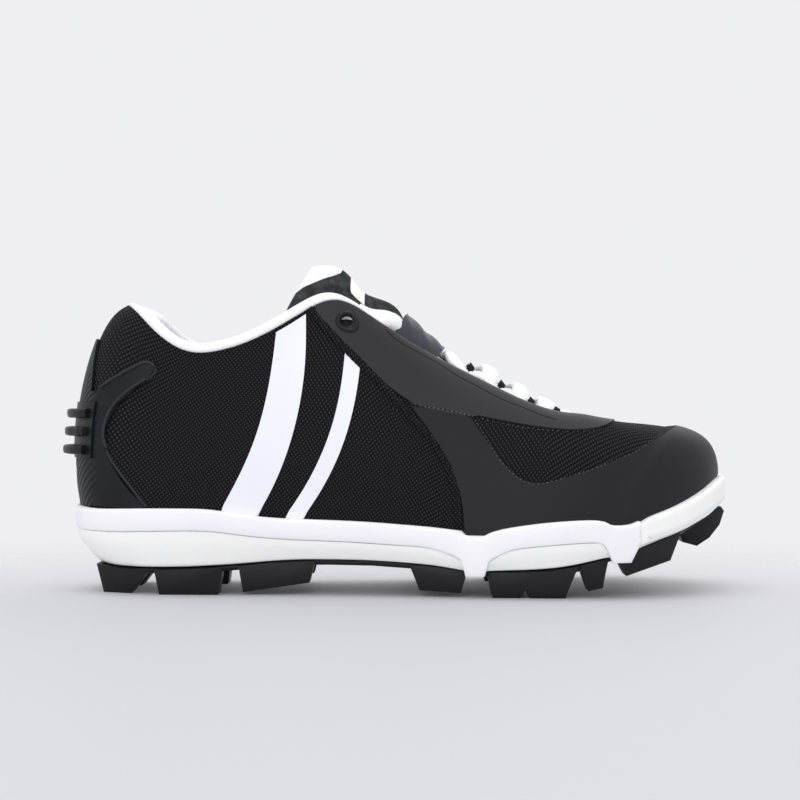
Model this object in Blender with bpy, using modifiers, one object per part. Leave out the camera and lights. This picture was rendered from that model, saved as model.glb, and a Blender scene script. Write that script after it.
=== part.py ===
"""Low-cut moulded baseball cleat, right shoe, standing on its studs.

The toe points along +X, the outer (lateral) side along -Y and Z is up, with the floor at zero.
The upper is a skin of curves: each curve climbs from the feather edge in the sole to the edge of
the opening, and its place round the shoe is its turn, from 0 at the heel to 1 at the toe.
A turn is negative on the lateral side and positive on the medial side.
"""

import math

import bmesh
import bpy
import numpy as np
from mathutils import Vector

MM = 0.001

# Driving sizes
LENGTH = 276.5 * MM            # heel to toe of the midsole
BALL_WIDTH = 100 * MM          # across the ball of the sole
HEEL_HEIGHT = 120 * MM         # floor to the top line at the heel
RIM_HEIGHT = 35.5 * MM         # floor to the top of the sole at the heel
RIM_WIDTH = 4.6 * MM           # sole wall outside the upper
TOE_SWING = 5 * MM             # how far the toe tip leans to the medial side
SIDE_SHIFT = 0.95 * MM         # from the heel's middle to the middle of the whole width
UPPER_WALL = 2 * MM
OVERLAY_WALL = 1.1 * MM        # rand, eyestay and counter
FILM_WALL = 0.6 * MM           # side stripes
RIM_WALL = 1.5 * MM            # rim band
RIM_PROUD = 1.0 * MM           # how far the rim band stands out of the midsole
RIM_SWELL = 0.3 * MM           # how far the rim band swells out between its edges
COLLAR_PADDING = 6.5 * MM
LINING_ROLL = 3.6 * MM         # lining above the edge of the upper
INSOLE_THICKNESS = 3.5 * MM
PLATE_THICKNESS = 2.4 * MM
PLATE_INSET = 3.5 * MM
PLATE_SLOPE = 3 * MM           # how far the edge of the plate slopes in, from its top to its tread
STUD_DEPTH = 16 * MM           # from the outer face of a stud to its inner face
RIB_REACH = 4.2 * MM           # how far the heel ribs stand out behind
TONGUE_THICKNESS = 4.5 * MM
LACE_WIDTH = 5 * MM
LACE_THICKNESS = 3 * MM
GAP = 0.3 * MM                 # between pieces that touch
FACET_GAP = 0.45 * MM          # between two curved pieces with unlike facets
CURVE_GAP = 0.75 * MM          # the same, where the toe and the heel curve most
COUNTER_GAP = 1.1 * MM         # under the heel counter, whose facets run askew to the upper's
ROLL_GAP = 1.0 * MM            # between the lining's roll and the top line

HALF_BALL = BALL_WIDTH / 2
HEEL_X = -(LENGTH - RIB_REACH) / 2

# A row for each curve of the upper. Along is a share of the length, out of half the ball width,
# up of the heel height. Bulge (of half the ball width) and rise (of the curve's height) place the
# lower handle; reach (back towards the foot of the curve) and drop (of its height) the upper one.
SECTION_COLUMNS = ("turn", "along", "lateral", "medial", "top_along", "top_out", "top_up",
                   "bulge", "rise", "reach", "drop")
SECTIONS = (
    (0.00, 0.003, 0.00, 0.00, 0.083, 0.00, 0.996, 0.215, 0.35, 0.94, 0.03),
    (0.06, 0.020, 0.34, 0.32, 0.092, 0.22, 0.988, 0.13, 0.36, 0.85, 0.06),
    (0.125, 0.065, 0.57, 0.54, 0.112, 0.40, 0.950, 0.08, 0.36, 0.70, 0.15),
    (0.20, 0.137, 0.68, 0.64, 0.146, 0.51, 0.875, 0.05, 0.36, 0.50, 0.25),
    (0.28, 0.224, 0.71, 0.65, 0.197, 0.55, 0.817, 0.04, 0.36, 0.40, 0.30),
    (0.36, 0.325, 0.70, 0.60, 0.266, 0.54, 0.848, 0.04, 0.36, 0.40, 0.30),
    (0.44, 0.427, 0.73, 0.60, 0.338, 0.47, 0.935, 0.05, 0.36, 0.45, 0.30),
    (0.48, 0.478, 0.77, 0.65, 0.370, 0.43, 0.985, 0.05, 0.36, 0.46, 0.30),
    (0.52, 0.528, 0.82, 0.72, 0.402, 0.41, 1.010, 0.05, 0.36, 0.48, 0.29),
    (0.56, 0.579, 0.88, 0.80, 0.433, 0.395, 0.985, 0.05, 0.37, 0.50, 0.27),
    (0.60, 0.629, 0.93, 0.88, 0.467, 0.385, 0.930, 0.05, 0.38, 0.54, 0.25),
    (0.68, 0.730, 0.99, 1.00, 0.550, 0.36, 0.808, 0.05, 0.42, 0.62, 0.20),
    (0.76, 0.832, 0.95, 0.97, 0.644, 0.34, 0.692, 0.05, 0.50, 0.75, 0.14),
    (0.84, 0.915, 0.77, 0.79, 0.7215, 0.30, 0.625, 0.05, 0.68, 0.85, 0.10),
    (0.92, 0.973, 0.44, 0.45, 0.765, 0.19, 0.600, 0.06, 0.80, 0.88, 0.09),
    (1.00, 1.000, 0.00, 0.00, 0.779, 0.00, 0.592, 0.07, 0.90, 0.90, 0.09),
)

# The side of the sole. Along is a share of the length, the heights are shares of the rim height:
# its rim, the lower edge of the rim band, and the underside of the midsole.
SIDE_COLUMNS = ("along", "rim", "step", "base")
SOLE_SIDE = (
    (0.000, 1.005, 0.745, 0.390),
    (0.045, 0.980, 0.730, 0.340),
    (0.090, 0.990, 0.730, 0.300),
    (0.145, 0.997, 0.744, 0.300),
    (0.220, 0.995, 0.750, 0.322),
    (0.270, 0.920, 0.690, 0.350),
    (0.330, 0.880, 0.650, 0.400),
    (0.430, 0.862, 0.628, 0.405),
    (0.500, 0.823, 0.590, 0.380),
    (0.550, 0.797, 0.580, 0.355),
    (0.587, 0.762, 0.440, 0.315),
    (0.593, 0.712, 0.255, 0.310),
    (0.607, 0.692, 0.240, 0.305),
    (0.621, 0.708, 0.255, 0.305),
    (0.627, 0.745, 0.420, 0.305),
    (0.640, 0.775, 0.535, 0.305),
    (0.664, 0.815, 0.575, 0.305),
    (0.700, 0.852, 0.600, 0.315),
    (0.745, 0.880, 0.632, 0.355),
    (0.788, 0.893, 0.645, 0.438),
    (0.797, 0.865, 0.590, 0.455),
    (0.804, 0.830, 0.415, 0.468),
    (0.820, 0.802, 0.395, 0.500),
    (0.833, 0.825, 0.410, 0.530),
    (0.846, 0.872, 0.600, 0.560),
    (0.875, 0.945, 0.700, 0.642),
    (0.910, 1.030, 0.780, 0.724),
    (0.940, 1.130, 0.880, 0.823),
    (0.962, 1.205, 0.950, 0.885),
    (0.980, 1.290, 1.030, 0.965),
    (1.000, 1.340, 1.070, 1.010),
)

# The feather line and footbed inside the sole: along, and up as a share of the rim height.
FOOTBED = (
    (0.000, 0.760),
    (0.220, 0.746),
    (0.325, 0.676),
    (0.427, 0.608),
    (0.528, 0.549),
    (0.600, 0.524),
    (0.730, 0.558),
    (0.832, 0.662),
    (0.915, 0.873),
    (0.973, 1.085),
    (1.000, 1.180),
)

RIM_END = 0.7725               # turn at which the rim band ends, on both sides
HEEL_TURNS = (0, 0.03, 0.06, 0.09, 0.12, 0.155, 0.195)
SIDE_TURNS = (0.24, 0.28, 0.32, 0.365, 0.41, 0.46, 0.50, 0.535)
STRAP_TURNS = (0.5665, 0.5715, 0.5935, 0.5985, 0.62, 0.66, 0.695, 0.7255, 0.7325, 0.7385, 0.761)
TOE_TURNS = (0.815, 0.845, 0.875, 0.905, 0.93, 0.955, 0.98, 1.0)
TURNS = HEEL_TURNS + SIDE_TURNS + STRAP_TURNS + (RIM_END, RIM_END + 0.01) + TOE_TURNS
STRAP_ROOM = 0.15 * RIM_HEIGHT  # nearer than this to the sole's underside, the rim band is a strap
EDGE_ROUND = 0.8 * MM          # small rounding along the edges of the sole's parts
CLIMBS = (0, 0.18, 0.36, 0.52, 0.66, 0.79, 0.9, 1)


def spline(at, knots, values):
    """Smooth curve through a table, with no overshoot between its rows."""
    knots = np.asarray(knots, float)
    values = np.asarray(values, float)
    at = np.clip(np.asarray(at, float), knots[0], knots[-1])
    step = np.diff(knots)
    rise = np.diff(values) / step
    slope = np.zeros(len(knots))
    same_way = rise[1:] * rise[:-1] > 0
    mean = (rise[1:] * step[:-1] + rise[:-1] * step[1:]) / (step[1:] + step[:-1])
    least = 3 * np.minimum(np.abs(rise[1:]), np.abs(rise[:-1]))
    slope[1:-1] = np.where(same_way, np.sign(mean) * np.minimum(np.abs(mean), least), 0)
    slope[0] = rise[0]
    slope[-1] = rise[-1]
    i = np.clip(np.searchsorted(knots, at, side="right") - 1, 0, len(step) - 1)
    t = (at - knots[i]) / step[i]
    hermite_a = (1 + 2 * t) * (1 - t) ** 2 * values[i]
    hermite_b = t * (1 - t) ** 2 * step[i] * slope[i]
    hermite_c = t * t * (3 - 2 * t) * values[i + 1]
    hermite_d = t * t * (t - 1) * step[i] * slope[i + 1]
    return hermite_a + hermite_b + hermite_c + hermite_d


def section(turn, column):
    """A column of the section table at a turn; the widths change sign across the shoe."""
    turn = np.asarray(turn, float)
    knots = [row[0] for row in SECTIONS]
    values = [row[SECTION_COLUMNS.index(column)] for row in SECTIONS]
    even = column not in ("lateral", "medial", "top_out")
    mirror = values[1:4] if even else [-value for value in values[1:4]]
    far = values[-4:-1] if even else [-value for value in values[-4:-1]]
    knots_all = [-k for k in knots[3:0:-1]] + knots + [2 - k for k in knots[-2:-5:-1]]
    values_all = mirror[::-1] + values + far[::-1]
    return spline(np.abs(turn), knots_all, values_all)


def sole_side(along, column):
    """Height of the sole's rim, step or base at a share of the length."""
    index = SIDE_COLUMNS.index(column)
    return RIM_HEIGHT * spline(along, [row[0] for row in SOLE_SIDE], [row[index] for row in SOLE_SIDE])


def footbed(along):
    """Height of the feather line at a share of the length."""
    return RIM_HEIGHT * spline(along, [row[0] for row in FOOTBED], [row[1] for row in FOOTBED])


def along_of(x):
    return (x - HEEL_X) / LENGTH


def centre_line(x):
    """Y of the shoe's middle, which swings to the medial side at the toe."""
    forward = np.clip((along_of(x) - 0.6) / 0.4, 0, None)
    return TOE_SWING * forward ** 2 - SIDE_SHIFT


def plan(turn, inset=0.0):
    """Outline of the sole from above, moved inwards by the inset."""
    turn = np.asarray(turn, float)

    def outline(t):
        t = np.where(t > 1, t - 2, np.where(t < -1, t + 2, t))
        x = HEEL_X + LENGTH * section(t, "along")
        width = np.where(t < 0, -section(t, "lateral"), section(t, "medial"))
        return x, centre_line(x) + HALF_BALL * width

    x, y = outline(turn)
    x_next, y_next = outline(turn + 0.004)
    x_last, y_last = outline(turn - 0.004)
    run_x = x_next - x_last
    run_y = y_next - y_last
    run = np.hypot(run_x, run_y)
    return np.stack([x + inset * run_y / run, y - inset * run_x / run], -1)


def skin(turn, climb):
    """Point of the upper's outer surface: climb is 0 at the feather edge and 1 at the opening."""
    turn, climb = np.broadcast_arrays(np.asarray(turn, float), np.asarray(climb, float))
    foot = plan(turn, RIM_WIDTH)
    foot_z = footbed(along_of(foot[..., 0]))
    top_x = HEEL_X + LENGTH * section(turn, "top_along")
    side = np.where(turn < 0, -1.0, 1.0)
    top_y = centre_line(top_x) + side * HALF_BALL * section(turn, "top_out")
    top_z = HEEL_HEIGHT * section(turn, "top_up")
    tall = top_z - foot_z
    low = plan(turn, RIM_WIDTH - HALF_BALL * section(turn, "bulge"))
    low_z = foot_z + tall * section(turn, "rise")
    reach = section(turn, "reach")
    high_x = top_x + reach * (foot[..., 0] - top_x)
    high_y = top_y + reach * (foot[..., 1] - top_y)
    high_z = top_z - tall * section(turn, "drop")
    points = (
        np.stack([foot[..., 0], foot[..., 1], foot_z], -1),
        np.stack([low[..., 0], low[..., 1], low_z], -1),
        np.stack([high_x, high_y, high_z], -1),
        np.stack([top_x, top_y, top_z], -1),
    )
    t = climb[..., None]
    weights = ((1 - t) ** 3, 3 * t * (1 - t) ** 2, 3 * t * t * (1 - t), t ** 3)
    return sum(weight * point for weight, point in zip(weights, points))


def skin_normal(turn, climb):
    """Outward direction of the upper's surface."""
    turn, climb = np.broadcast_arrays(np.asarray(turn, float), np.asarray(climb, float))
    nudge = 0.01
    before = np.where(turn - nudge < -1, turn - nudge + 2, turn - nudge)
    after = np.where(turn + nudge > 1, turn + nudge - 2, turn + nudge)
    round_way = skin(after, climb) - skin(before, climb)
    up_way = skin(turn, np.minimum(climb + nudge, 1)) - skin(turn, np.maximum(climb - nudge, 0))
    normal = np.cross(up_way, round_way)
    return normal / np.linalg.norm(normal, axis=-1, keepdims=True)


def on_skin(turn, climb, lift):
    """Point at a height over the upper's surface, or inside it where the lift is negative."""
    return skin(turn, climb) + np.asarray(lift)[..., None] * skin_normal(turn, climb)


def climb_at_height(turn, height):
    """Climb at which the upper's surface passes a height, found by halving."""
    low = np.zeros(np.shape(turn))
    high = np.full(np.shape(turn), 0.6)
    for _ in range(24):
        middle = (low + high) / 2
        under = skin(turn, middle)[..., 2] < height
        low = np.where(under, middle, low)
        high = np.where(under, high, middle)
    return low


def rim_climb(turn, above):
    """Climb at which the upper comes out of the sole, plus a height above the rim."""
    height = sole_side(section(turn, "along"), "rim") + above
    return climb_at_height(np.asarray(turn, float), height)


def whole_ring(turns):
    """Turns all the way round: heel, medial side, toe, lateral side."""
    half = list(turns)
    return np.array(half + [-turn for turn in half[-2:0:-1]])


def clear_scene():
    for item in list(bpy.data.objects):
        bpy.data.objects.remove(item, do_unlink=True)


def new_collection(name):
    collection = bpy.data.collections.new(name)
    bpy.context.scene.collection.children.link(collection)
    return collection


def finish_material(name, colour, roughness):
    material = bpy.data.materials.new(name)
    material.use_nodes = True
    shader = material.node_tree.nodes["Principled BSDF"]
    shader.inputs["Base Color"].default_value = (*colour, 1)
    shader.inputs["Roughness"].default_value = roughness
    return material


def add_object(name, bm, collection, material, smooth_angle=40):
    mesh = bpy.data.meshes.new(name)
    bm.to_mesh(mesh)
    bm.free()
    mesh.shade_smooth()
    mesh.set_sharp_from_angle(angle=math.radians(smooth_angle))
    item = bpy.data.objects.new(name, mesh)
    collection.objects.link(item)
    if material is not None:
        mesh.materials.append(material)
    return item


def lay_grid(bm, grid, closed_rows=False, closed_columns=False):
    """Quads over a grid of points; a closed direction joins its last line to its first."""
    verts = [[bm.verts.new(point) for point in row] for row in grid]
    rows = len(verts)
    columns = len(verts[0])
    for i in range(rows if closed_rows else rows - 1):
        for j in range(columns if closed_columns else columns - 1):
            i_next = (i + 1) % rows
            j_next = (j + 1) % columns
            bm.faces.new((verts[i][j], verts[i][j_next], verts[i_next][j_next], verts[i_next][j]))
    return verts


def ladder_cap(bm, ring):
    """Closes a ring with rungs from the lateral to the medial side."""
    count = len(ring)
    half = count // 2
    bm.faces.new((ring[0], ring[1], ring[count - 1]))
    for i in range(1, half - 1):
        bm.faces.new((ring[i], ring[i + 1], ring[count - i - 1], ring[count - i]))
    bm.faces.new((ring[half - 1], ring[half], ring[half + 1]))


def point_outwards(bm):
    bmesh.ops.recalc_face_normals(bm, faces=bm.faces)


def stack_of_rings(name, rings, collection, material):
    """A closed solid from rings laid on each other, with a ladder at the bottom and the top."""
    bm = bmesh.new()
    verts = lay_grid(bm, rings, closed_columns=True)
    ladder_cap(bm, verts[0])
    ladder_cap(bm, verts[-1])
    point_outwards(bm)
    return add_object(name, bm, collection, material)


def sweep(name, sections, collection, material, smooth_angle=40):
    """A closed solid from closed sections along an open path."""
    bm = bmesh.new()
    verts = lay_grid(bm, sections, closed_columns=True)
    bm.faces.new(verts[0])
    bm.faces.new(verts[-1][::-1])
    point_outwards(bm)
    return add_object(name, bm, collection, material, smooth_angle)


def sheet(name, grid, wall, collection, material):
    """A sheet with a wall on its outer side."""
    bm = bmesh.new()
    lay_grid(bm, grid)
    item = add_object(name, bm, collection, material)
    solidify = item.modifiers.new("wall", "SOLIDIFY")
    solidify.thickness = wall
    solidify.offset = 1
    return item


def slab(name, outer, inner, collection, material):
    """A closed solid between two grids of the same size."""
    bm = bmesh.new()
    top = lay_grid(bm, outer)
    bottom = lay_grid(bm, inner)
    rows = len(top)
    columns = len(top[0])
    edge = [(0, j) for j in range(columns)] + [(i, columns - 1) for i in range(1, rows)]
    edge += [(rows - 1, j) for j in range(columns - 2, -1, -1)] + [(i, 0) for i in range(rows - 2, 0, -1)]
    for (i, j), (k, m) in zip(edge, edge[1:] + edge[:1]):
        bm.faces.new((top[i][j], top[k][m], bottom[k][m], bottom[i][j]))
    point_outwards(bm)
    return add_object(name, bm, collection, material)


def make_upper(collection, material, cutters):
    ring = whole_ring(TURNS)
    outer = [on_skin(ring, climb, np.zeros(len(ring))) for climb in CLIMBS]
    inner = [on_skin(ring, climb, np.full(len(ring), -UPPER_WALL)) for climb in CLIMBS[::-1]]
    bm = bmesh.new()
    lay_grid(bm, outer + inner, closed_rows=True, closed_columns=True)
    point_outwards(bm)
    upper = add_object("upper", bm, collection, material)
    cut_holes(upper, cutters)
    return upper


HEEL_TUCK = 9 * MM             # how far the heel of the midsole runs in at its base
SIDE_TUCK = 3.5 * MM
BASE_ROUND = 2.5 * MM          # rounding along the underside of the midsole


def tuck(turn):
    """How far the sole runs in at its base: more round the heel."""
    near_heel = np.clip(1 - np.abs(turn) / 0.2, 0, 1)
    return SIDE_TUCK + (HEEL_TUCK - SIDE_TUCK) * near_heel ** 0.7


def sole_ring(turn, inset, level):
    """Ring of the sole at an inset from its outline; level gives the height from the length."""
    place = plan(turn, inset)
    return np.concatenate([place, level(along_of(place[:, 0]))[:, None]], 1)


def wall_ring(turn, inset, level):
    """The same for the side wall, where every ring takes the height of its own turn."""
    return np.concatenate([plan(turn, inset), level(section(turn, "along"))[:, None]], 1)


def base_level(along):
    return sole_side(along, "base")


def make_midsole(collection, material):
    ring = whole_ring(TURNS)
    covered = np.abs(ring) <= RIM_END
    face = np.where(covered, RIM_WALL + GAP, 0.0)
    ring_along = section(ring, "along")
    strapped = sole_side(ring_along, "step") - base_level(ring_along) < STRAP_ROOM
    wall = np.where(covered, np.where(strapped, face, RIM_PROUD), GAP)

    def shelf(share, lift=0.0):
        def level(along):
            base = base_level(along)
            height = np.maximum(sole_side(along, "step") - GAP - base, GAP)
            return base + share * height + lift
        return level

    def top(down):
        return lambda along: sole_side(along, "rim") - face - down

    rim_top = top(0)(section(ring, "along"))
    mouth = on_skin(ring, climb_at_height(ring, rim_top), np.full(len(ring), FACET_GAP))
    mouth[:, 2] = rim_top
    foot = on_skin(ring, np.zeros(len(ring)), np.full(len(ring), FACET_GAP))
    foot[:, 2] = footbed(along_of(foot[:, 0])) - GAP
    floor = sole_ring(ring, RIM_WIDTH + UPPER_WALL, lambda along: footbed(along) - GAP)
    inward = tuck(ring)
    rings = [
        sole_ring(ring, inward + BASE_ROUND, base_level),
        sole_ring(ring, inward, shelf(0.08)),
        sole_ring(ring, wall + 0.45 * (inward - wall), shelf(0.4)),
        wall_ring(ring, wall, shelf(0.75)),
        wall_ring(ring, wall, shelf(1.0)),
        wall_ring(ring, face, shelf(1.0, 0.2 * MM)),
        wall_ring(ring, face, top(EDGE_ROUND)),
        wall_ring(ring, face + EDGE_ROUND, top(0)),
        mouth,
        foot,
        floor,
    ]
    return stack_of_rings("midsole", rings, collection, material)


def make_outsole_plate(collection, material):
    ring = whole_ring(TURNS)
    inward = tuck(ring) + PLATE_INSET
    rings = [
        sole_ring(ring, inward + PLATE_SLOPE, lambda along: base_level(along) - PLATE_THICKNESS),
        sole_ring(ring, inward, lambda along: base_level(along) - GAP - EDGE_ROUND),
        sole_ring(ring, inward, lambda along: base_level(along) - GAP),
    ]
    return stack_of_rings("outsole", rings, collection, material)


def make_insole(collection, material):
    ring = whole_ring(TURNS)
    inward = RIM_WIDTH + UPPER_WALL + 2 * FACET_GAP
    rings = [
        sole_ring(ring, inward, lambda along: footbed(along) + GAP),
        sole_ring(ring, inward, lambda along: footbed(along) + INSOLE_THICKNESS - EDGE_ROUND),
        sole_ring(ring, inward + EDGE_ROUND, lambda along: footbed(along) + INSOLE_THICKNESS),
    ]
    return stack_of_rings("insole", rings, collection, material)


def make_rim(collection, material):
    turns = [turn for turn in TURNS if turn <= RIM_END]
    path = np.array([-turn for turn in turns[::-1]] + turns[1:])
    rim_top = sole_side(section(path, "along"), "rim")
    mouth = on_skin(path, climb_at_height(path, rim_top - RIM_WALL), np.full(len(path), FACET_GAP))
    low_mouth = mouth.copy()
    mouth[:, 2] = rim_top
    low_mouth[:, 2] = rim_top - RIM_WALL

    def level(column, lift=0.0):
        return lambda along: sole_side(along, column) + lift

    lines = [
        wall_ring(path, RIM_WALL, level("step")),
        wall_ring(path, EDGE_ROUND / 2, level("step")),
        wall_ring(path, 0.0, level("step", EDGE_ROUND)),
        wall_ring(path, -RIM_SWELL, lambda along: (sole_side(along, "step") + sole_side(along, "rim")) / 2),
        wall_ring(path, 0.0, level("rim", -EDGE_ROUND)),
        wall_ring(path, EDGE_ROUND, level("rim")),
        mouth,
        low_mouth,
        wall_ring(path, RIM_WALL, level("rim", -RIM_WALL)),
    ]
    return sweep("midsole_rim", np.stack(lines, 1), collection, material, 50)


# Top edge of the rand on one side. Foot is the turn where a row leaves the sole, edge the turn
# and climb where it ends, and bow how far it leans forward between them.
RAND = (
    (0.570, 0.549, 0.544, 0.012),
    (0.5935, 0.582, 0.545, 0.008),
    (0.5985, 0.589, 0.546, 0.007),
    (0.620, 0.612, 0.550, 0.003),
    (0.632, 0.624, 0.546, 0.0),
    (0.637, 0.629, 0.420, 0.0),
    (0.643, 0.635, 0.360, 0.0),
    (0.652, 0.645, 0.300, 0.0),
    (0.668, 0.660, 0.272, 0.0),
    (0.695, 0.690, 0.293, 0.0),
    (0.7255, 0.722, 0.338, 0.0),
    (0.7385, 0.737, 0.362, 0.0),
    (0.761, 0.7605, 0.395, 0.0),
    (0.786, 0.786, 0.427, 0.0),
    (0.820, 0.820, 0.475, 0.0),
    (0.860, 0.860, 0.545, 0.0),
    (0.905, 0.905, 0.592, 0.0),
    (0.930, 0.930, 0.609, 0.0),
    (0.955, 0.955, 0.621, 0.0),
    (0.980, 0.980, 0.628, 0.0),
    (1.000, 1.000, 0.630, 0.0),
)

# Lower edge of the eyestay on one side, from its rear edge under the collar to the vamp.
EYESTAY = (
    (0.481, 0.970), (0.487, 0.905), (0.497, 0.827), (0.511, 0.743), (0.526, 0.640), (0.546, 0.560),
    (0.580, 0.557), (0.630, 0.565), (0.661, 0.565), (0.704, 0.567), (0.741, 0.586), (0.770, 0.612),
    (0.802, 0.663), (0.843, 0.760), (0.890, 0.840), (0.940, 0.890), (1.000, 0.910),
)

# Outline of the heel counter on one side, as turn and climb, and the climb on the spine of the
# heel that each row starts from. The arm is the part that passes a turn of 0.13.
COUNTER = (
    (0.160, 0.163, 0.100), (0.132, 0.243, 0.115), (0.111, 0.303, 0.130), (0.105, 0.357, 0.145),
    (0.114, 0.440, 0.155), (0.130, 0.510, 0.165), (0.156, 0.610, 0.175), (0.176, 0.697, 0.185),
    (0.190, 0.767, 0.195), (0.191, 0.797, 0.205), (0.182, 0.803, 0.213), (0.170, 0.783, 0.220),
    (0.149, 0.713, 0.230), (0.106, 0.577, 0.250), (0.074, 0.510, 0.330), (0.061, 0.500, 0.420),
    (0.057, 0.543, 0.500), (0.041, 0.640, 0.600), (0.030, 0.710, 0.700),
)
COUNTER_FOOT = 0.188           # turn where the counter's front edge leaves the sole

# Corners of each side stripe as turn and climb; the feet stand on the rim.
STRIPES = (
    ("wide", 0.292, 0.334, (0.413, 0.985), (0.464, 0.985)),
    ("narrow", 0.365, 0.386, (0.496, 0.785), (0.507, 0.715)),
)

RAND_COUNT = 5                 # points across the rand, from the sole to its edge

EYELET_TURN = 0.519
EYELET_CLIMB = 0.897
EYELET_BORE = 5.4 * MM
EYELET_RIM = 2.2 * MM          # width of the moulded rim round the hole
EYELET_HEIGHT = 1.5 * MM
CUTTER_LENGTH = 12 * MM        # of the cylinder that bores the hole


def both_sides(rows):
    """Rows of one side, run from the lateral side through the middle to the medial side."""
    lateral = [(-1.0, row) for row in rows]
    return lateral + [(1.0, row) for row in rows[-2::-1]]


def make_rand(collection, material):
    grid = []
    for side, (foot, edge, climb, bow) in both_sides(RAND):
        low = float(rim_climb(np.array(foot), CURVE_GAP + OVERLAY_WALL * max(foot - 0.7, 0) / 0.3))
        share = np.linspace(0, 1, RAND_COUNT)
        turn = foot + (edge - foot) * share + 4 * bow * share * (1 - share)
        grid.append(on_skin(side * turn, low + (climb - low) * share, np.full(RAND_COUNT, CURVE_GAP)))
    return sheet("forefoot_rand", grid[::-1], OVERLAY_WALL, collection, material)


def make_eyestay(collection, material, cutters):
    grid = []
    for side, (turn, low) in both_sides(EYESTAY):
        climb = np.linspace(low, 0.995, 5)
        grid.append(on_skin(np.full(5, side * turn), climb, np.full(5, CURVE_GAP)))
    eyestay = sheet("eyestay", grid[::-1], OVERLAY_WALL, collection, material)
    cut_holes(eyestay, cutters)
    return eyestay


def make_counter(collection, material):
    foot = (COUNTER_FOOT, float(rim_climb(np.array(COUNTER_FOOT), GAP)), float(rim_climb(np.array(0.0), GAP)))
    share = np.linspace(0, 1, 7)
    grid = []
    for turn, climb, spine in (foot,) + COUNTER:
        half = on_skin(-turn * share, spine + (climb - spine) * share, np.full(7, COUNTER_GAP))
        other = on_skin(turn * share, spine + (climb - spine) * share, np.full(7, COUNTER_GAP))
        grid.append(np.concatenate([half[:0:-1], other]))
    return sheet("heel_counter", grid[::-1], OVERLAY_WALL, collection, material)


RIB_COUNT = 3
RIB_LOW_CLIMB = 0.25
RIB_HIGH_CLIMB = 0.441
RIB_TURN = 0.072               # half the block's reach round the heel
RIB_PLATE = 0.9 * MM


def make_ribs(collection, material):
    seat = COUNTER_GAP + OVERLAY_WALL + FACET_GAP
    plate = seat + RIB_PLATE
    step = (RIB_HIGH_CLIMB - RIB_LOW_CLIMB) / (3 * RIB_COUNT)
    tip = skin(0.0, RIB_LOW_CLIMB + step)[0] - (HEEL_X - RIB_REACH)
    outline = [(RIB_LOW_CLIMB, seat), (RIB_LOW_CLIMB, plate)]
    for rib in range(RIB_COUNT):
        low = RIB_LOW_CLIMB + (3 * rib + 0.7) * step
        crest = tip - 0.3 * MM * rib
        outline += [(low, plate), (low + 0.2 * step, crest), (low + 1.4 * step, crest), (low + 1.6 * step, plate)]
    outline.append((RIB_HIGH_CLIMB, plate))
    outline += [(RIB_LOW_CLIMB + 3 * step * rib, seat) for rib in range(RIB_COUNT, 0, -1)]
    climb = np.array([point[0] for point in outline])
    lift = np.array([point[1] for point in outline])
    sections = []
    for turn in np.linspace(-RIB_TURN, RIB_TURN, 11):
        fade = 1 - (turn / RIB_TURN) ** 4 * 0.6
        height = np.where(lift > plate, plate + (lift - plate) * fade, lift)
        sections.append(on_skin(np.full(len(climb), turn), climb, height))
    return sweep("heel_ribs", sections, collection, material, 30)


def make_stripes(collection, material):
    for name, rear, front, high_rear, high_front in STRIPES:
        for side_name, side in (("lateral", -1), ("medial", 1)):
            grid = []
            for share in np.linspace(0, 1, 7):
                low_turn = np.array([rear, (rear + front) / 2, front])
                low_climb = rim_climb(low_turn, CURVE_GAP)
                high_turn = np.array([high_rear[0], (high_rear[0] + high_front[0]) / 2, high_front[0]])
                high_climb = np.array([high_rear[1], (high_rear[1] + high_front[1]) / 2, high_front[1]])
                turn = low_turn + (high_turn - low_turn) * share
                climb = low_climb + (high_climb - low_climb) * share
                grid.append(on_skin(side * turn, climb, np.full(3, FACET_GAP)))
            if side > 0:
                grid = grid[::-1]
            sheet(f"quarter_stripe_{name}_{side_name}", grid, FILM_WALL, collection, material)


def padding(turn):
    """Thickness of the collar lining's foam, which thins to a piping beside the eyelets."""
    turn = np.abs(turn)
    return COLLAR_PADDING * np.clip((0.50 - turn) / 0.12, 0.12, 1)


LINING_END = 0.62              # turn where the lining runs out on the throat
LINING_DROP = 0.30             # climb that the foam reaches down inside


def make_lining(collection, material):
    turns = [turn for turn in TURNS if turn <= LINING_END]
    path = np.array([-turn for turn in turns[::-1]] + turns[1:])
    ones = np.ones(len(path))
    edge = skin(path, ones)
    outward = skin_normal(path, ones)
    upward = edge - skin(path, ones * 0.97)
    upward /= np.linalg.norm(upward, axis=1, keepdims=True)
    foam = padding(path)
    inner = UPPER_WALL + CURVE_GAP
    width = inner + foam
    height = LINING_ROLL * np.clip((LINING_END - np.abs(path)) / 0.03, 0.5, 1)
    lines = []
    for angle in np.radians((0, 55, 125, 180)):
        lift = -width / 2 + width / 2 * math.cos(angle)
        rise = ROLL_GAP + height * math.sin(angle)
        lines.append(edge + lift[:, None] * outward + rise[:, None] * upward)
    drop = LINING_DROP * np.clip(foam / COLLAR_PADDING, 0.25, 1)
    for share, fullness in ((1 / 3, 0.95), (2 / 3, 0.7), (1, 0.25)):
        lines.append(on_skin(path, 1 - share * drop, -inner - fullness * foam))
    for share in (1, 2 / 3, 1 / 3):
        lines.append(on_skin(path, 1 - share * drop, -inner * ones))
    lines.append(edge - inner * outward + ROLL_GAP * upward)
    return sweep("collar_lining", np.stack(lines, 1), collection, material)


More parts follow.
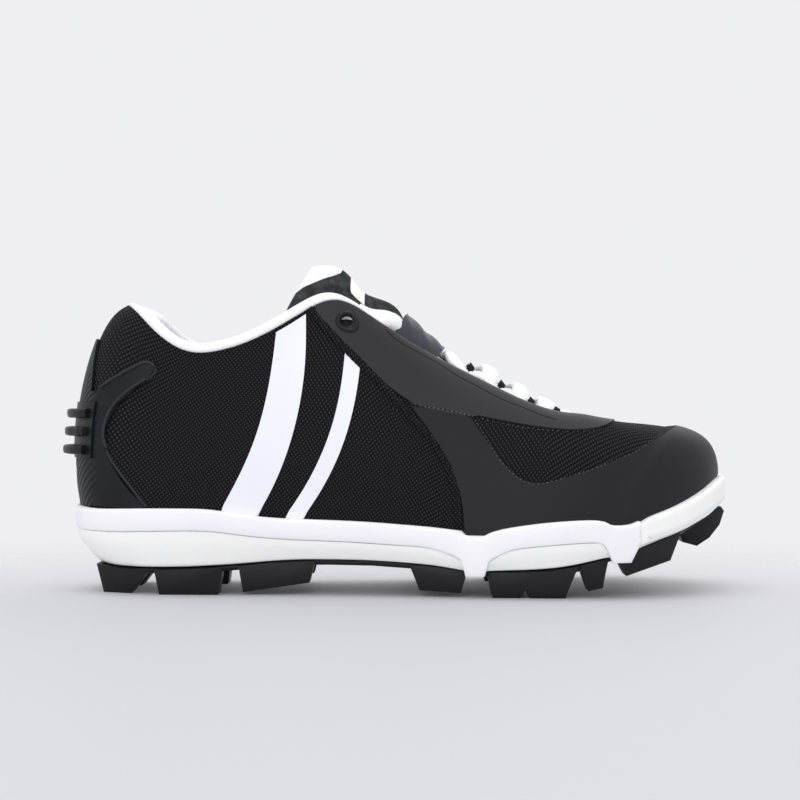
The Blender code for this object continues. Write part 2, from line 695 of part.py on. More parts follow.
# Front of the tongue down its middle, from under the vamp to its top: along and up as shares.
TONGUE = (
    (0.900, 0.757, 0.577),
    (0.840, 0.722, 0.612),
    (0.800, 0.688, 0.645),
    (0.760, 0.646, 0.690),
    (0.720, 0.600, 0.742),
    (0.680, 0.554, 0.812),
    (0.640, 0.511, 0.885),
    (0.610, 0.484, 0.944),
    (0.580, 0.462, 0.990),
    (0.550, 0.444, 1.035),
    (0.520, 0.431, 1.085),
    (0.490, 0.416, 1.125),
    (0.465, 0.398, 1.148),
    (0.440, 0.372, 1.146),
)
TONGUE_CLEARANCE = 1.3 * MM    # between the tongue and the upper or its lining
TONGUE_EDGE = 0.62             # share of the tongue's half width that shows in the throat
TONGUE_WING = 0.80             # climb that its hidden wings reach down to
VAMP_TUCK = 12 * MM            # how far the tongue runs on under the vamp


def tongue_point(turn, across):
    """Point of the tongue's outer face: across is -1 at its lateral and 1 at its medial edge."""
    rows = TONGUE[::-1]
    knots = [row[0] for row in rows]
    middle_x = HEEL_X + LENGTH * spline(turn, knots, [row[1] for row in rows])
    middle = np.array([middle_x, centre_line(middle_x), HEEL_HEIGHT * spline(turn, knots, [row[2] for row in rows])])
    side = -1.0 if across < 0 else 1.0
    depth = UPPER_WALL + padding(turn) + TONGUE_CLEARANCE
    reach = min(abs(across) / TONGUE_EDGE, 1)
    wing = max(abs(across) - TONGUE_EDGE, 0) / (1 - TONGUE_EDGE)
    edge = on_skin(side * turn, 1.0, -depth)
    if wing > 0:
        return on_skin(side * turn, 1 - wing * (1 - TONGUE_WING), -depth)
    point = middle + (edge - middle) * reach ** 2
    point[1] = middle[1] + (edge[1] - middle[1]) * reach
    return point


def grid_normals(grid):
    """Directions square to a grid of points, row by column."""
    grid = np.asarray(grid)
    along = np.gradient(grid, axis=0)
    across = np.gradient(grid, axis=1)
    normal = np.cross(across, along)
    return normal / np.linalg.norm(normal, axis=2, keepdims=True)


ACROSS = (-1.0, -0.8, -0.62, -0.42, -0.21, 0.0, 0.21, 0.42, 0.62, 0.8, 1.0)


def tongue_grid():
    rows = [[tongue_point(row[0], across) for across in ACROSS] for row in TONGUE]
    grid = np.array(rows)
    tuck_in = grid[0] + np.array([VAMP_TUCK, 0, -2.2 * MM])
    tuck_in[:, 1] = centre_line(tuck_in[:, 0]) + 0.75 * (grid[0][:, 1] - centre_line(grid[0][:, 0]))
    return np.concatenate([tuck_in[None], grid])


def make_tongue(collection, material):
    outer = tongue_grid()
    normals = grid_normals(outer)
    inner = outer - TONGUE_THICKNESS * normals
    return slab("tongue", outer, inner, collection, material)


def tongue_frame(turn, across):
    """Point, outward, throat and side directions on the tongue's outer face."""
    nudge = 0.01
    point = tongue_point(turn, across)
    throat = tongue_point(turn - nudge, across) - tongue_point(turn + nudge, across)
    aside = tongue_point(turn, across + nudge) - tongue_point(turn, across - nudge)
    throat /= np.linalg.norm(throat)
    aside /= np.linalg.norm(aside)
    outward = np.cross(throat, aside)
    outward *= -1 if outward[2] < 0 else 1
    return point, outward / np.linalg.norm(outward), throat, aside


KEEPER_LOW = 0.682
KEEPER_HIGH = 0.625
KEEPER_HALF = 0.50             # share of the tongue's half width
KEEPER_WALL = 1.0 * MM


def make_keeper(collection, material):
    room = 1.4 * LACE_THICKNESS
    grid = []
    for turn in np.linspace(KEEPER_LOW, KEEPER_HIGH, 5):
        row = []
        for across in np.linspace(-KEEPER_HALF, KEEPER_HALF, 9):
            point, outward, _, _ = tongue_frame(turn, across)
            arch = 1 - (across / KEEPER_HALF) ** 4
            row.append(point + (CURVE_GAP + room * arch) * outward)
        grid.append(row)
    return sheet("tongue_keeper", grid, KEEPER_WALL, collection, material)


# Turns of the webbing loops, from the top of the throat down.
LOOPS = (0.720, 0.760, 0.803, 0.848)
LOOP_WALL = 0.8 * MM
LOOP_WIDTH = 3 * MM
LOOP_BORE_WIDE = 4.6 * MM      # bore of a loop across the shoe
LOOP_BORE_TALL = 3.6 * MM
LACE_REACH = 0.15              # share of the tongue's half width at which the lace turns
LACE_LOW = 0.72                # height of a strand over the tongue, as a share of its thickness
LACE_HIGH = 1.35
KEEPER_MARGIN = 0.022          # turns between the crossings' end and the keeper
KEEPER_PASS = 0.12             # share of the tongue's half width where a strand passes the keeper
RIBBON_SIDES = 6


def loop_place(turn, side):
    """Middle of a loop, just inside the edge of the throat, with its directions."""
    half = LOOP_BORE_WIDE / 2 + LOOP_WALL
    edge = on_skin(side * turn, 1.0, -UPPER_WALL)
    point, outward, throat, aside = tongue_frame(turn, side * 0.45)
    lift = LOOP_BORE_TALL / 2 + LOOP_WALL + CURVE_GAP
    centre = point + outward * lift
    centre[1] = edge[1] - side * (half + 4 * GAP)
    return centre, outward, throat, aside


def make_loops(collection, material):
    for number, turn in enumerate(LOOPS, 1):
        for side_name, side in (("lateral", -1), ("medial", 1)):
            centre, outward, throat, aside = loop_place(turn, side)
            rings = []
            for grow, shift in ((0, -0.5), (LOOP_WALL, -0.5), (LOOP_WALL, 0.5), (0, 0.5)):
                ring = []
                for angle in np.linspace(0, 2 * math.pi, 8, endpoint=False):
                    wide = (LOOP_BORE_WIDE / 2 + grow) * math.cos(angle)
                    tall = (LOOP_BORE_TALL / 2 + grow) * math.sin(angle)
                    ring.append(centre + wide * aside + tall * outward + shift * LOOP_WIDTH * throat)
                rings.append(ring)
            bm = bmesh.new()
            lay_grid(bm, rings, closed_rows=True, closed_columns=True)
            point_outwards(bm)
            add_object(f"lace_loop_{side_name}_{number}", bm, collection, material, 50)


def ribbon(points, outwards, width, thickness):
    """Oval sections along a path that keep their flat face to the tongue."""
    points = np.asarray(points)
    run = np.gradient(points, axis=0)
    run /= np.linalg.norm(run, axis=1, keepdims=True)
    sections = []
    for point, direction, outward in zip(points, run, outwards):
        across = np.cross(direction, outward)
        across /= np.linalg.norm(across)
        up = np.cross(across, direction)
        ring = []
        for angle in np.linspace(0, 2 * math.pi, RIBBON_SIDES, endpoint=False):
            ring.append(point + width / 2 * math.cos(angle) * across + thickness / 2 * math.sin(angle) * up)
        sections.append(ring)
    return sections


def smooth_path(points, steps):
    """Points along a soft curve through the given ones."""
    points = np.asarray(points, float)
    padded = np.concatenate([2 * points[:1] - points[1:2], points, 2 * points[-1:] - points[-2:-1]])
    path = []
    for i in range(1, len(padded) - 2):
        for t in np.linspace(0, 1, steps, endpoint=False):
            a, b, c, d = padded[i - 1:i + 3]
            path.append(0.5 * (2 * b + (c - a) * t + (2 * a - 5 * b + 4 * c - d) * t ** 2
                               + (3 * b - a - 3 * c + d) * t ** 3))
    path.append(points[-1])
    return np.array(path)


def lace_route(start_side, over):
    """Route of one strand: past a loop on each side in turn, up to the keeper."""
    points = []
    outwards = []
    side = start_side
    low = LACE_THICKNESS * LACE_LOW
    turns = LOOPS[::-1]
    for turn, next_turn in zip(turns, turns[1:] + (KEEPER_LOW + KEEPER_MARGIN,)):
        point, outward, _, _ = tongue_frame(turn, side * LACE_REACH)
        points.append(point + low * outward)
        outwards.append(outward)
        if next_turn in turns:
            middle, outward, _, _ = tongue_frame((turn + next_turn) / 2, 0.0)
            points.append(middle + LACE_THICKNESS * (LACE_HIGH if over else LACE_LOW) * outward)
            outwards.append(outward)
            over = not over
        side = -side
    point, outward, _, _ = tongue_frame(KEEPER_LOW + KEEPER_MARGIN, side * KEEPER_PASS)
    points.append(point + low * outward)
    outwards.append(outward)
    return points, outwards


def fuse(base, others, collection):
    """Joins solids to the base with unions, and removes the joined ones."""
    for other in others:
        union = base.modifiers.new("join", "BOOLEAN")
        union.operation = "UNION"
        union.solver = "EXACT"
        union.object = other
        depsgraph = bpy.context.evaluated_depsgraph_get()
        mesh = bpy.data.meshes.new_from_object(base.evaluated_get(depsgraph))
        base.modifiers.clear()
        base.data = mesh
        bpy.data.objects.remove(other, do_unlink=True)
    return base


def cutter_cylinder(name, centre, direction, radius, depth, cutters):
    bm = bmesh.new()
    bmesh.ops.create_cone(bm, cap_ends=True, segments=16, radius1=radius, radius2=radius, depth=depth)
    item = add_object(name, bm, cutters, None)
    axis = Vector(direction)
    item.rotation_mode = "QUATERNION"
    item.rotation_quaternion = axis.to_track_quat("Z", "Y")
    item.location = Vector(centre)
    item.hide_render = True
    item.display_type = "WIRE"
    return item


def cut_holes(item, cutters):
    for side_name in ("lateral", "medial"):
        cut = item.modifiers.new(f"hole_{side_name}", "BOOLEAN")
        cut.operation = "DIFFERENCE"
        cut.solver = "EXACT"
        cut.object = cutters.objects[f"eyelet_bore_{side_name}"]


def make_eyelet_bores(cutters):
    for side_name, side in (("lateral", -1), ("medial", 1)):
        centre = on_skin(side * EYELET_TURN, EYELET_CLIMB, 0.0)
        outward = skin_normal(side * EYELET_TURN, EYELET_CLIMB)
        cutter_cylinder(f"eyelet_bore_{side_name}", centre, outward, EYELET_BORE / 2, CUTTER_LENGTH, cutters)


def make_eyelets(collection, material):
    seat = CURVE_GAP + OVERLAY_WALL + GAP
    for side_name, side in (("lateral", -1), ("medial", 1)):
        outward = skin_normal(side * EYELET_TURN, EYELET_CLIMB)
        centre = on_skin(side * EYELET_TURN, EYELET_CLIMB, seat)
        down = skin(side * (EYELET_TURN + 0.01), EYELET_CLIMB - 0.08) - centre
        down -= outward * np.dot(down, outward)
        down /= np.linalg.norm(down)
        across = np.cross(outward, down)
        rings = []
        for grow, lift in ((0.35, 0.0), (1.0, 0.0), (0.75, 0.8), (0.35, 1.0), (0.08, 0.6)):
            ring = []
            for angle in np.linspace(0, 2 * math.pi, 14, endpoint=False):
                point_end = 1 + 0.35 * max(math.cos(angle), 0) ** 4
                radius = (EYELET_BORE / 2 + grow * EYELET_RIM) * point_end
                spot = centre + radius * (math.cos(angle) * down + math.sin(angle) * across)
                ring.append(spot + lift * EYELET_HEIGHT * outward)
            rings.append(ring)
        bm = bmesh.new()
        lay_grid(bm, rings, closed_rows=True, closed_columns=True)
        point_outwards(bm)
        add_object(f"top_eyelet_{side_name}", bm, collection, material)


def make_laces(collection, material):
    """The crossed strands, joined where they pass over each other."""
    strands = []
    for start_side, over in ((-1, True), (1, False)):
        points, outwards = lace_route(start_side, over)
        if start_side < 0:
            first, outward, _, _ = tongue_frame(LOOPS[-1], LACE_REACH)
            points.insert(0, first + LACE_THICKNESS * LACE_LOW * outward)
            outwards.insert(0, outward)
        route = smooth_path(points, 2)
        ups = smooth_path(outwards, 2)
        strands.append(sweep(f"strand_{len(strands)}", ribbon(route, ups, LACE_WIDTH, LACE_THICKNESS),
                             collection, material))
    lace = fuse(strands[0], strands[1:], collection)
    lace.name = "lace_crossings"
    return lace


# Middle of a lace end, in millimetres: forward, out from the centre line and up. It leaves the
# crossings, runs under the keeper and turns out over the tongue to just inside the top eyelet.
LACE_END = (
    (22.0, 3.8, 96.6),
    (12.2, 3.9, 103.5),
    (4.0, 3.8, 110.2),
    (-3.1, 6.6, 116.8),
    (-8.8, 10.8, 120.2),
    (-15.4, 12.9, 122.4),
)
LACE_END_DIAMETER = 3.4 * MM


def make_lace_ends(collection, material):
    for side_name, side in (("lateral", -1), ("medial", 1)):
        points = [(x * MM, centre_line(x * MM) + side * y * MM, z * MM) for x, y, z in LACE_END]
        path = smooth_path(points, 2)
        curve = bpy.data.curves.new(f"lace_end_{side_name}", "CURVE")
        curve.dimensions = "3D"
        curve.bevel_depth = LACE_END_DIAMETER / 2
        curve.bevel_resolution = 1
        curve.use_fill_caps = True
        line = curve.splines.new("POLY")
        line.points.add(len(path) - 1)
        for spot, point in zip(line.points, path):
            spot.co = (*point, 1)
        item = bpy.data.objects.new(f"lace_end_{side_name}", curve)
        collection.objects.link(item)
        curve.materials.append(material)


# Studs of one side, in profile: the rear of its root, the rear and the front of its tread and the
# front of its root as shares of the length, and the two ends of its tread as shares of the rim height.
STUDS = (
    ("heel_rear", 0.045, 0.056, 0.100, 0.128, 0.0, 0.0),
    ("heel_front", 0.137, 0.144, 0.231, 0.237, 0.0, 0.0),
    ("waist", 0.262, 0.268, 0.366, 0.374, 0.030, 0.140),
    ("ball_rear", 0.513, 0.528, 0.588, 0.597, 0.070, 0.050),
    ("ball", 0.626, 0.634, 0.738, 0.757, 0.0, 0.0),
    ("ball_front", 0.7595, 0.772, 0.793, 0.801, 0.080, 0.115),
    ("toe_side", 0.812, 0.828, 0.896, 0.912, 0.245, 0.405),
)
STUD_TAPER = 1.6 * MM
STUD_SETBACK = 1.2 * MM        # from the base's edge to the outer face of a stud

# Profile of the stud in the middle of the toe: shares of the length and of the rim height.
TOE_STUD = ((0.930, 0.550), (0.952, 0.505), (0.971, 0.600), (0.987, 0.755), (0.994, 0.920))
TOE_STUD_ROOTS = (0.920, 0.988)
TOE_STUD_WIDTH = 19 * MM
ROOT_GAP = 0.4 * MM            # between the midsole and the top of a stud outside the plate
ROOT_POINTS = 4                # along the top of a stud, which follows the midsole


def width_at(x, side):
    """Y of the sole's outline at an X on one side."""
    turns = np.linspace(0, 1, 201)
    outline = plan(side * turns)
    return float(np.interp(x, outline[:, 0], outline[:, 1]))


def make_stud(name, profile, outer, inner, lean, collection, material):
    """A tapered block from a side profile, between an outer and an inner face."""
    bm = bmesh.new()
    rings = []
    for place, draft in ((outer, lean), (inner, -lean)):
        ring = []
        for x, z, tread in profile:
            ring.append((x, place(x) + (draft if tread else 0), z))
        rings.append(ring)
    lay_grid(bm, rings, closed_columns=True)
    verts = list(bm.verts)
    count = len(profile)
    bm.faces.new(verts[:count])
    bm.faces.new(verts[count:])
    point_outwards(bm)
    return add_object(name, bm, collection, material)


def stud_root(rear, front):
    """Top line of a stud, from its front to its rear, close under the midsole."""
    along = np.linspace(front, rear, ROOT_POINTS)
    height = base_level(along) - ROOT_GAP
    return [(HEEL_X + LENGTH * a, float(z), False) for a, z in zip(along, height)]


def make_outsole(collection, material):
    plate = make_outsole_plate(collection, material)
    studs = []
    for side_name, side in (("lateral", -1), ("medial", 1)):
        for name, rear, tread_rear, tread_front, front, rear_up, front_up in STUDS:
            profile = [
                (HEEL_X + LENGTH * tread_rear, RIM_HEIGHT * rear_up, True),
                (HEEL_X + LENGTH * tread_front, RIM_HEIGHT * front_up, True),
            ]
            profile += stud_root(rear, front)
            narrow = tuck(0.1) if rear < 0.1 else tuck(0.5)

            def outer(x, side=side, narrow=narrow):
                return width_at(x, side) - side * (narrow + STUD_SETBACK)

            def inner(x, side=side, narrow=narrow):
                return width_at(x, side) - side * (narrow + STUD_SETBACK + STUD_DEPTH)

            studs.append(make_stud(f"{name}_{side_name}", profile, outer, inner, -side * STUD_TAPER,
                                   collection, material))
    profile = [(HEEL_X + LENGTH * along, RIM_HEIGHT * up, True) for along, up in TOE_STUD]
    profile += stud_root(*TOE_STUD_ROOTS)

    def lateral_face(x):
        return centre_line(x) - TOE_STUD_WIDTH / 2

    def medial_face(x):
        return centre_line(x) + TOE_STUD_WIDTH / 2

    studs.append(make_stud("toe_stud", profile, lateral_face, medial_face, STUD_TAPER, collection, material))
    return fuse(plate, studs, collection)


def main():
    clear_scene()
    shoe = new_collection("baseball_cleat")
    cutters = new_collection("cutters")
    mesh_black = finish_material("mesh_black", (0.014, 0.013, 0.018), 0.85)
    smooth_black = finish_material("smooth_black", (0.034, 0.034, 0.04), 0.5)
    moulded_black = finish_material("moulded_black", (0.02, 0.023, 0.03), 0.45)
    film_white = finish_material("film_white", (0.86, 0.88, 0.93), 0.35)
    foam_white = finish_material("foam_white", (0.88, 0.88, 0.85), 0.55)
    rim_white = finish_material("rim_white", (0.84, 0.83, 0.88), 0.5)
    stud_black = finish_material("stud_black", (0.013, 0.013, 0.016), 0.4)
    sock_grey = finish_material("sock_grey", (0.6, 0.6, 0.62), 0.9)
    lining_white = finish_material("lining_white", (0.85, 0.85, 0.85), 0.9)
    tongue_grey = finish_material("tongue_grey", (0.055, 0.06, 0.067), 0.8)
    keeper_blue_grey = finish_material("keeper_blue_grey", (0.058, 0.064, 0.076), 0.4)
    webbing_black = finish_material("webbing_black", (0.015, 0.015, 0.018), 0.7)
    lace_white = finish_material("lace_white", (0.87, 0.87, 0.87), 0.85)
    make_eyelet_bores(cutters)
    make_upper(shoe, mesh_black, cutters)
    make_midsole(shoe, foam_white)
    make_rim(shoe, rim_white)
    make_outsole(shoe, stud_black)
    make_insole(shoe, sock_grey)
    make_rand(shoe, smooth_black)
    make_eyestay(shoe, smooth_black, cutters)
    make_counter(shoe, moulded_black)
    make_ribs(shoe, moulded_black)
    make_stripes(shoe, film_white)
    make_lining(shoe, lining_white)
    make_tongue(shoe, tongue_grey)
    make_keeper(shoe, keeper_blue_grey)
    make_loops(shoe, webbing_black)
    make_eyelets(shoe, moulded_black)
    make_laces(shoe, lace_white)
    make_lace_ends(shoe, lace_white)


main()
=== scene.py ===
"""The looks of a low-cut moulded baseball cleat, right shoe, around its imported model.

The toe points along +X, the outer (lateral) side along -Y and Z is up, in metres.
"""

import math

import bmesh
import bpy
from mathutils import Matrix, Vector, noise
from mathutils.bvhtree import BVHTree


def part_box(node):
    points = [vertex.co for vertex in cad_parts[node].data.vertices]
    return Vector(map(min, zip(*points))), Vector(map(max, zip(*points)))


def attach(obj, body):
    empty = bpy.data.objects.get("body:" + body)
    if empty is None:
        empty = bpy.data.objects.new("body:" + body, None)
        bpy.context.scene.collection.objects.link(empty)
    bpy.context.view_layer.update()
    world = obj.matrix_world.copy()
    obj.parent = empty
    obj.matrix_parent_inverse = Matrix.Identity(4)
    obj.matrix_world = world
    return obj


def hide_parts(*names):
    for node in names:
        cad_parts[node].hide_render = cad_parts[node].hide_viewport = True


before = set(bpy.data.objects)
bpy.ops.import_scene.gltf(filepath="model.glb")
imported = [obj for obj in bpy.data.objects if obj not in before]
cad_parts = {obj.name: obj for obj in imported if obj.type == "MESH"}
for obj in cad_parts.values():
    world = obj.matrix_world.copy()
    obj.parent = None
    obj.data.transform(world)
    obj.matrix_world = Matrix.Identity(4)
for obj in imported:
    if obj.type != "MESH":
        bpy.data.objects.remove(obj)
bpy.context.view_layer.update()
MM = 0.001

# Camera. The photo looks straight at the lateral side from the middle of the shoe's length, level,
# at the height of the instep.
EYE = Vector((1.95, -750, 79.4)) * MM
PHOTO_SIZE = 800               # pixels, across and down
LENS = 79.55
SENSOR = 36                    # mm wide
SHOE_MIDDLE = -0.95 * MM       # the shoe's middle, from the middle of its whole width
camera_data = bpy.data.cameras.new("camera")
camera_data.lens = LENS
camera_data.sensor_width = SENSOR
camera_data.clip_start = 0.01
camera = bpy.data.objects.new("camera", camera_data)
camera.location = EYE
camera.rotation_euler = (math.radians(90), 0, 0)
bpy.context.collection.objects.link(camera)
bpy.context.scene.camera = camera
bpy.context.scene.view_settings.view_transform = "Standard"


# Studio. A pale floor that fades into a pale room behind the shoe, one wide soft light overhead, a
# low one in front and one behind, which leave a faint shadow under the sole.
FLOOR_REACH = 2.6
FLOOR_MIDDLE = (0.0, -0.45, 0.0)       # round this place the floor is full
FLOOR_FADE = 0.38              # it starts to fade this far from there
FLOOR_END = 0.78               # and is gone here


def linear(red, green, blue):
    """Colour as a shader takes it, from the values that a photo shows, 0 to 255."""
    def channel(value):
        value /= 255
        return value / 12.92 if value <= 0.04045 else ((value + 0.055) / 1.055) ** 2.4
    return channel(red), channel(green), channel(blue), 1.0


def new_material(name):
    """An empty node material, with its shader and its output joined."""
    material = bpy.data.materials.new(name)
    material.use_nodes = True
    nodes = material.node_tree.nodes
    nodes.clear()
    shader = nodes.new("ShaderNodeBsdfPrincipled")
    output = nodes.new("ShaderNodeOutputMaterial")
    material.node_tree.links.new(shader.outputs[0], output.inputs["Surface"])
    return material, shader


def studio_floor():
    material, shader = new_material("studio_floor")
    tree = material.node_tree
    shader.inputs["Base Color"].default_value = linear(205, 205, 210)
    shader.inputs["Roughness"].default_value = 0.6
    shader.inputs["Specular IOR Level"].default_value = 0.15
    place = tree.nodes.new("ShaderNodeTexCoord")
    distance = tree.nodes.new("ShaderNodeVectorMath")
    distance.operation = "DISTANCE"
    distance.inputs[1].default_value = FLOOR_MIDDLE
    fade = tree.nodes.new("ShaderNodeMapRange")
    fade.inputs["From Min"].default_value = FLOOR_FADE
    fade.inputs["From Max"].default_value = FLOOR_END
    fade.inputs["To Min"].default_value = 1
    fade.inputs["To Max"].default_value = 0
    fade.interpolation_type = "SMOOTHSTEP"
    tree.links.new(place.outputs["Object"], distance.inputs[0])
    tree.links.new(distance.outputs["Value"], fade.inputs["Value"])
    tree.links.new(fade.outputs["Result"], shader.inputs["Alpha"])
    return material


bpy.ops.object.select_all(action="DESELECT")
bpy.ops.mesh.primitive_circle_add(vertices=96, radius=FLOOR_REACH, fill_type="NGON")
floor = bpy.context.object
floor.name = "studio_floor"
floor.data.materials.append(studio_floor())

world = bpy.data.worlds.new("studio_room")
world.use_nodes = True
world.node_tree.nodes["Background"].inputs["Color"].default_value = linear(239, 239, 242)
world.node_tree.nodes["Background"].inputs["Strength"].default_value = 1.0
bpy.context.scene.world = world

LIGHTS = (
    # name, place, aim, size, power
    ("light_overhead", (0.0, 0.0, 1.5), (0.0, 0.0, 0.0), 1.2, 7),
    ("light_front", (-0.4, -1.4, 0.35), (0.0, 0.0, 0.04), 1.0, 4.5),
    ("light_back", (0.4, 1.2, 1.0), (0.0, 0.0, 0.05), 1.2, 2),
)
for name, place, aim, size, power in LIGHTS:
    light_data = bpy.data.lights.new(name, "AREA")
    light_data.size = size
    light_data.energy = power
    light = bpy.data.objects.new(name, light_data)
    light.location = place
    light.rotation_euler = (Vector(aim) - Vector(place)).to_track_quat("-Z", "Y").to_euler()
    bpy.context.collection.objects.link(light)


# Outsole. One moulding of black rubber: a thin plate with its studs, semi-gloss, with small
# chamfers along the treads and a fine grain from the mould.
STUD_CHAMFER = 0.7 * MM


def cad_copy(node, name):
    """A new piece with the mesh of a CAD node, its doubles merged and its triangles paired."""
    piece = bpy.data.objects.new(name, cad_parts[node].data.copy())
    bpy.context.collection.objects.link(piece)
    piece.data.materials.clear()
    bm = bmesh.new()
    bm.from_mesh(piece.data)
    bmesh.ops.remove_doubles(bm, verts=bm.verts, dist=0.01 * MM)
    bmesh.ops.join_triangles(bm, faces=bm.faces, cmp_seam=False, cmp_sharp=False, cmp_uvs=False,
                             cmp_vcols=False, cmp_materials=False,
                             angle_face_threshold=math.radians(35),
                             angle_shape_threshold=math.radians(60))
    bm.to_mesh(piece.data)
    bm.free()
    return piece


def apply_modifiers(piece):
    bpy.ops.object.select_all(action="DESELECT")
    bpy.context.view_layer.objects.active = piece
    piece.select_set(True)
    for modifier in list(piece.modifiers):
        bpy.ops.object.modifier_apply(modifier=modifier.name)
    piece.select_set(False)


def smooth_shading(piece, fold=38):
    piece.data.shade_smooth()
    piece.data.set_sharp_from_angle(angle=math.radians(fold))


def fit_to_shoe(piece, material, slot, *nodes):
    """Gives a finished piece its material, and the CAD nodes that it stands for; the slot is not used."""
    piece.data.materials.append(material)
    if nodes:
        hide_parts(*nodes)
    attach(piece, "root")


def add_grain(material, shader, scale, strength, depth, stretch=(1, 1, 1)):
    """Fine bump of a moulded or pressed surface, on the piece's own coordinates."""
    tree = material.node_tree
    place = tree.nodes.new("ShaderNodeTexCoord")
    mapping = tree.nodes.new("ShaderNodeMapping")
    mapping.inputs["Scale"].default_value = stretch
    grain = tree.nodes.new("ShaderNodeTexNoise")
    grain.inputs["Scale"].default_value = scale
    grain.inputs["Detail"].default_value = 4
    bump = tree.nodes.new("ShaderNodeBump")
    bump.inputs["Strength"].default_value = strength
    bump.inputs["Distance"].default_value = depth
    tree.links.new(place.outputs["Object"], mapping.inputs["Vector"])
    tree.links.new(mapping.outputs["Vector"], grain.inputs["Vector"])
    tree.links.new(grain.outputs["Fac"], bump.inputs["Height"])
    tree.links.new(bump.outputs["Normal"], shader.inputs["Normal"])
    return bump


def vary_colour(material, shader, first, second, scale):
    """Soft change between two close colours over the surface."""
    tree = material.node_tree
    place = tree.nodes.new("ShaderNodeTexCoord")
    cloud = tree.nodes.new("ShaderNodeTexNoise")
    cloud.inputs["Scale"].default_value = scale
    ramp = tree.nodes.new("ShaderNodeValToRGB")
    ramp.color_ramp.elements[0].position = 0.3
    ramp.color_ramp.elements[0].color = first
    ramp.color_ramp.elements[1].position = 0.7
    ramp.color_ramp.elements[1].color = second
    tree.links.new(place.outputs["Object"], cloud.inputs["Vector"])
    tree.links.new(cloud.outputs["Fac"], ramp.inputs["Fac"])
    tree.links.new(ramp.outputs["Color"], shader.inputs["Base Color"])


def finish(name, first, second, patches, roughness, grain, specular=0.5, **more):
    """A finish in two close colours, with a grain (scale, strength and depth) and other inputs."""
    material, shader = new_material(name)
    vary_colour(material, shader, first, second, patches)
    shader.inputs["Roughness"].default_value = roughness
    shader.inputs["Specular IOR Level"].default_value = specular
    for socket, value in more.items():
        shader.inputs[socket.replace("_", " ").title()].default_value = value
    add_grain(material, shader, *grain)
    return material


def new_piece(bm, name):
    """Turns a finished bmesh into a piece, and frees it."""
    mesh = bpy.data.meshes.new(name)
    bm.to_mesh(mesh)
    bm.free()
    piece = bpy.data.objects.new(name, mesh)
    bpy.context.collection.objects.link(piece)
    return piece


def cut_wedge(piece, rear, apex, front, foot, top, half_width):
    """Cuts a wedge out of a tread from side to side: three places along it, and its foot and top."""
    bm = bmesh.new()
    ends = []
    for y in (-half_width, half_width):
        corners = ((rear, y, foot), (apex, y, top), (front, y, foot))
        ends.append([bm.verts.new(corner) for corner in corners])
    bm.faces.new(ends[0])
    bm.faces.new(ends[1][::-1])
    for k in range(3):
        bm.faces.new((ends[0][k], ends[1][k], ends[1][(k + 1) % 3], ends[0][(k + 1) % 3]))
    bmesh.ops.recalc_face_normals(bm, faces=bm.faces)
    cutter = new_piece(bm, "wedge")
    cut = piece.modifiers.new("cut", "BOOLEAN")
    cut.operation = "DIFFERENCE"
    cut.solver = "EXACT"
    cut.object = cutter
    apply_modifiers(piece)
    bpy.data.objects.remove(cutter, do_unlink=True)


NOTCH = (48.5 * MM, 52.8 * MM, 54.5 * MM)      # along the ball studs: rear, apex and front
NOTCH_FOOT = -2 * MM           # below the treads
NOTCH_TOP = 3.6 * MM
NOTCH_HALF = 70 * MM           # past both sides

stud_rubber = finish("stud_rubber", linear(18, 18, 20), linear(24, 24, 27), 60, 0.42,
                     (1500, 0.25, 0.1 * MM), 0.3)
outsole = cad_copy("outsole", "stud_plate")
cut_wedge(outsole, *NOTCH, NOTCH_FOOT, NOTCH_TOP, NOTCH_HALF)
chamfer = outsole.modifiers.new("chamfer", "BEVEL")
chamfer.width = STUD_CHAMFER
chamfer.segments = 2
chamfer.limit_method = "ANGLE"
chamfer.angle_limit = math.radians(35)
apply_modifiers(outsole)
smooth_shading(outsole, 30)
fit_to_shoe(outsole, stud_rubber, "stud_black", "outsole")


# Midsole. A cup of warm white foam, moulded in one piece with a soft skin, and cemented on the
# plate; it carries the heel and the arch and turns up at the toe.


def soft_surface(piece, levels, fold=38):
    """Rounds a piece by subdivision and keeps its edges over an angle crisp."""
    bm = bmesh.new()
    bm.from_mesh(piece.data)
    crease = bm.edges.layers.float.get("crease_edge") or bm.edges.layers.float.new("crease_edge")
    for edge in bm.edges:
        if len(edge.link_faces) == 2 and edge.calc_face_angle() > math.radians(fold):
            edge[crease] = 1.0
    bm.to_mesh(piece.data)
    bm.free()
    rounding = piece.modifiers.new("rounding", "SUBSURF")
    rounding.levels = levels
    rounding.render_levels = levels
    apply_modifiers(piece)
    smooth_shading(piece, fold)


cup_foam = finish("cup_foam", linear(251, 251, 246), linear(254, 254, 251), 18, 0.55, (900, 0.12, 0.15 * MM),
                  subsurface_weight=0.1, subsurface_scale=2 * MM)
midsole = cad_copy("midsole", "foam_cup")
soft_surface(midsole, 2)
fit_to_shoe(midsole, cup_foam, "foam_white", "midsole")


# Rim band. A second foam part, cooler white, that wraps the cup under the upper, with two straps
# on each side that come down to the plate.
rim_foam = finish("rim_foam", linear(246, 244, 248), linear(250, 249, 252), 25, 0.5, (1100, 0.15, 0.12 * MM))
rim = cad_copy("midsole_rim", "rim_band")
soft_surface(rim, 2)
fit_to_shoe(rim, rim_foam, "rim_white", "midsole_rim")


# Insole. A thin sock of foam with a brushed cloth top, cut to the outline of the cup's floor and
# laid in it loose.
brushed_sock = finish("brushed_sock", linear(200, 200, 205), linear(214, 214, 218), 120, 0.95,
                      (2200, 0.5, 0.3 * MM), sheen_weight=0.3)
insole = cad_copy("insole", "foam_sock")
soft_surface(insole, 1)
fit_to_shoe(insole, brushed_sock, "sock_grey", "insole")
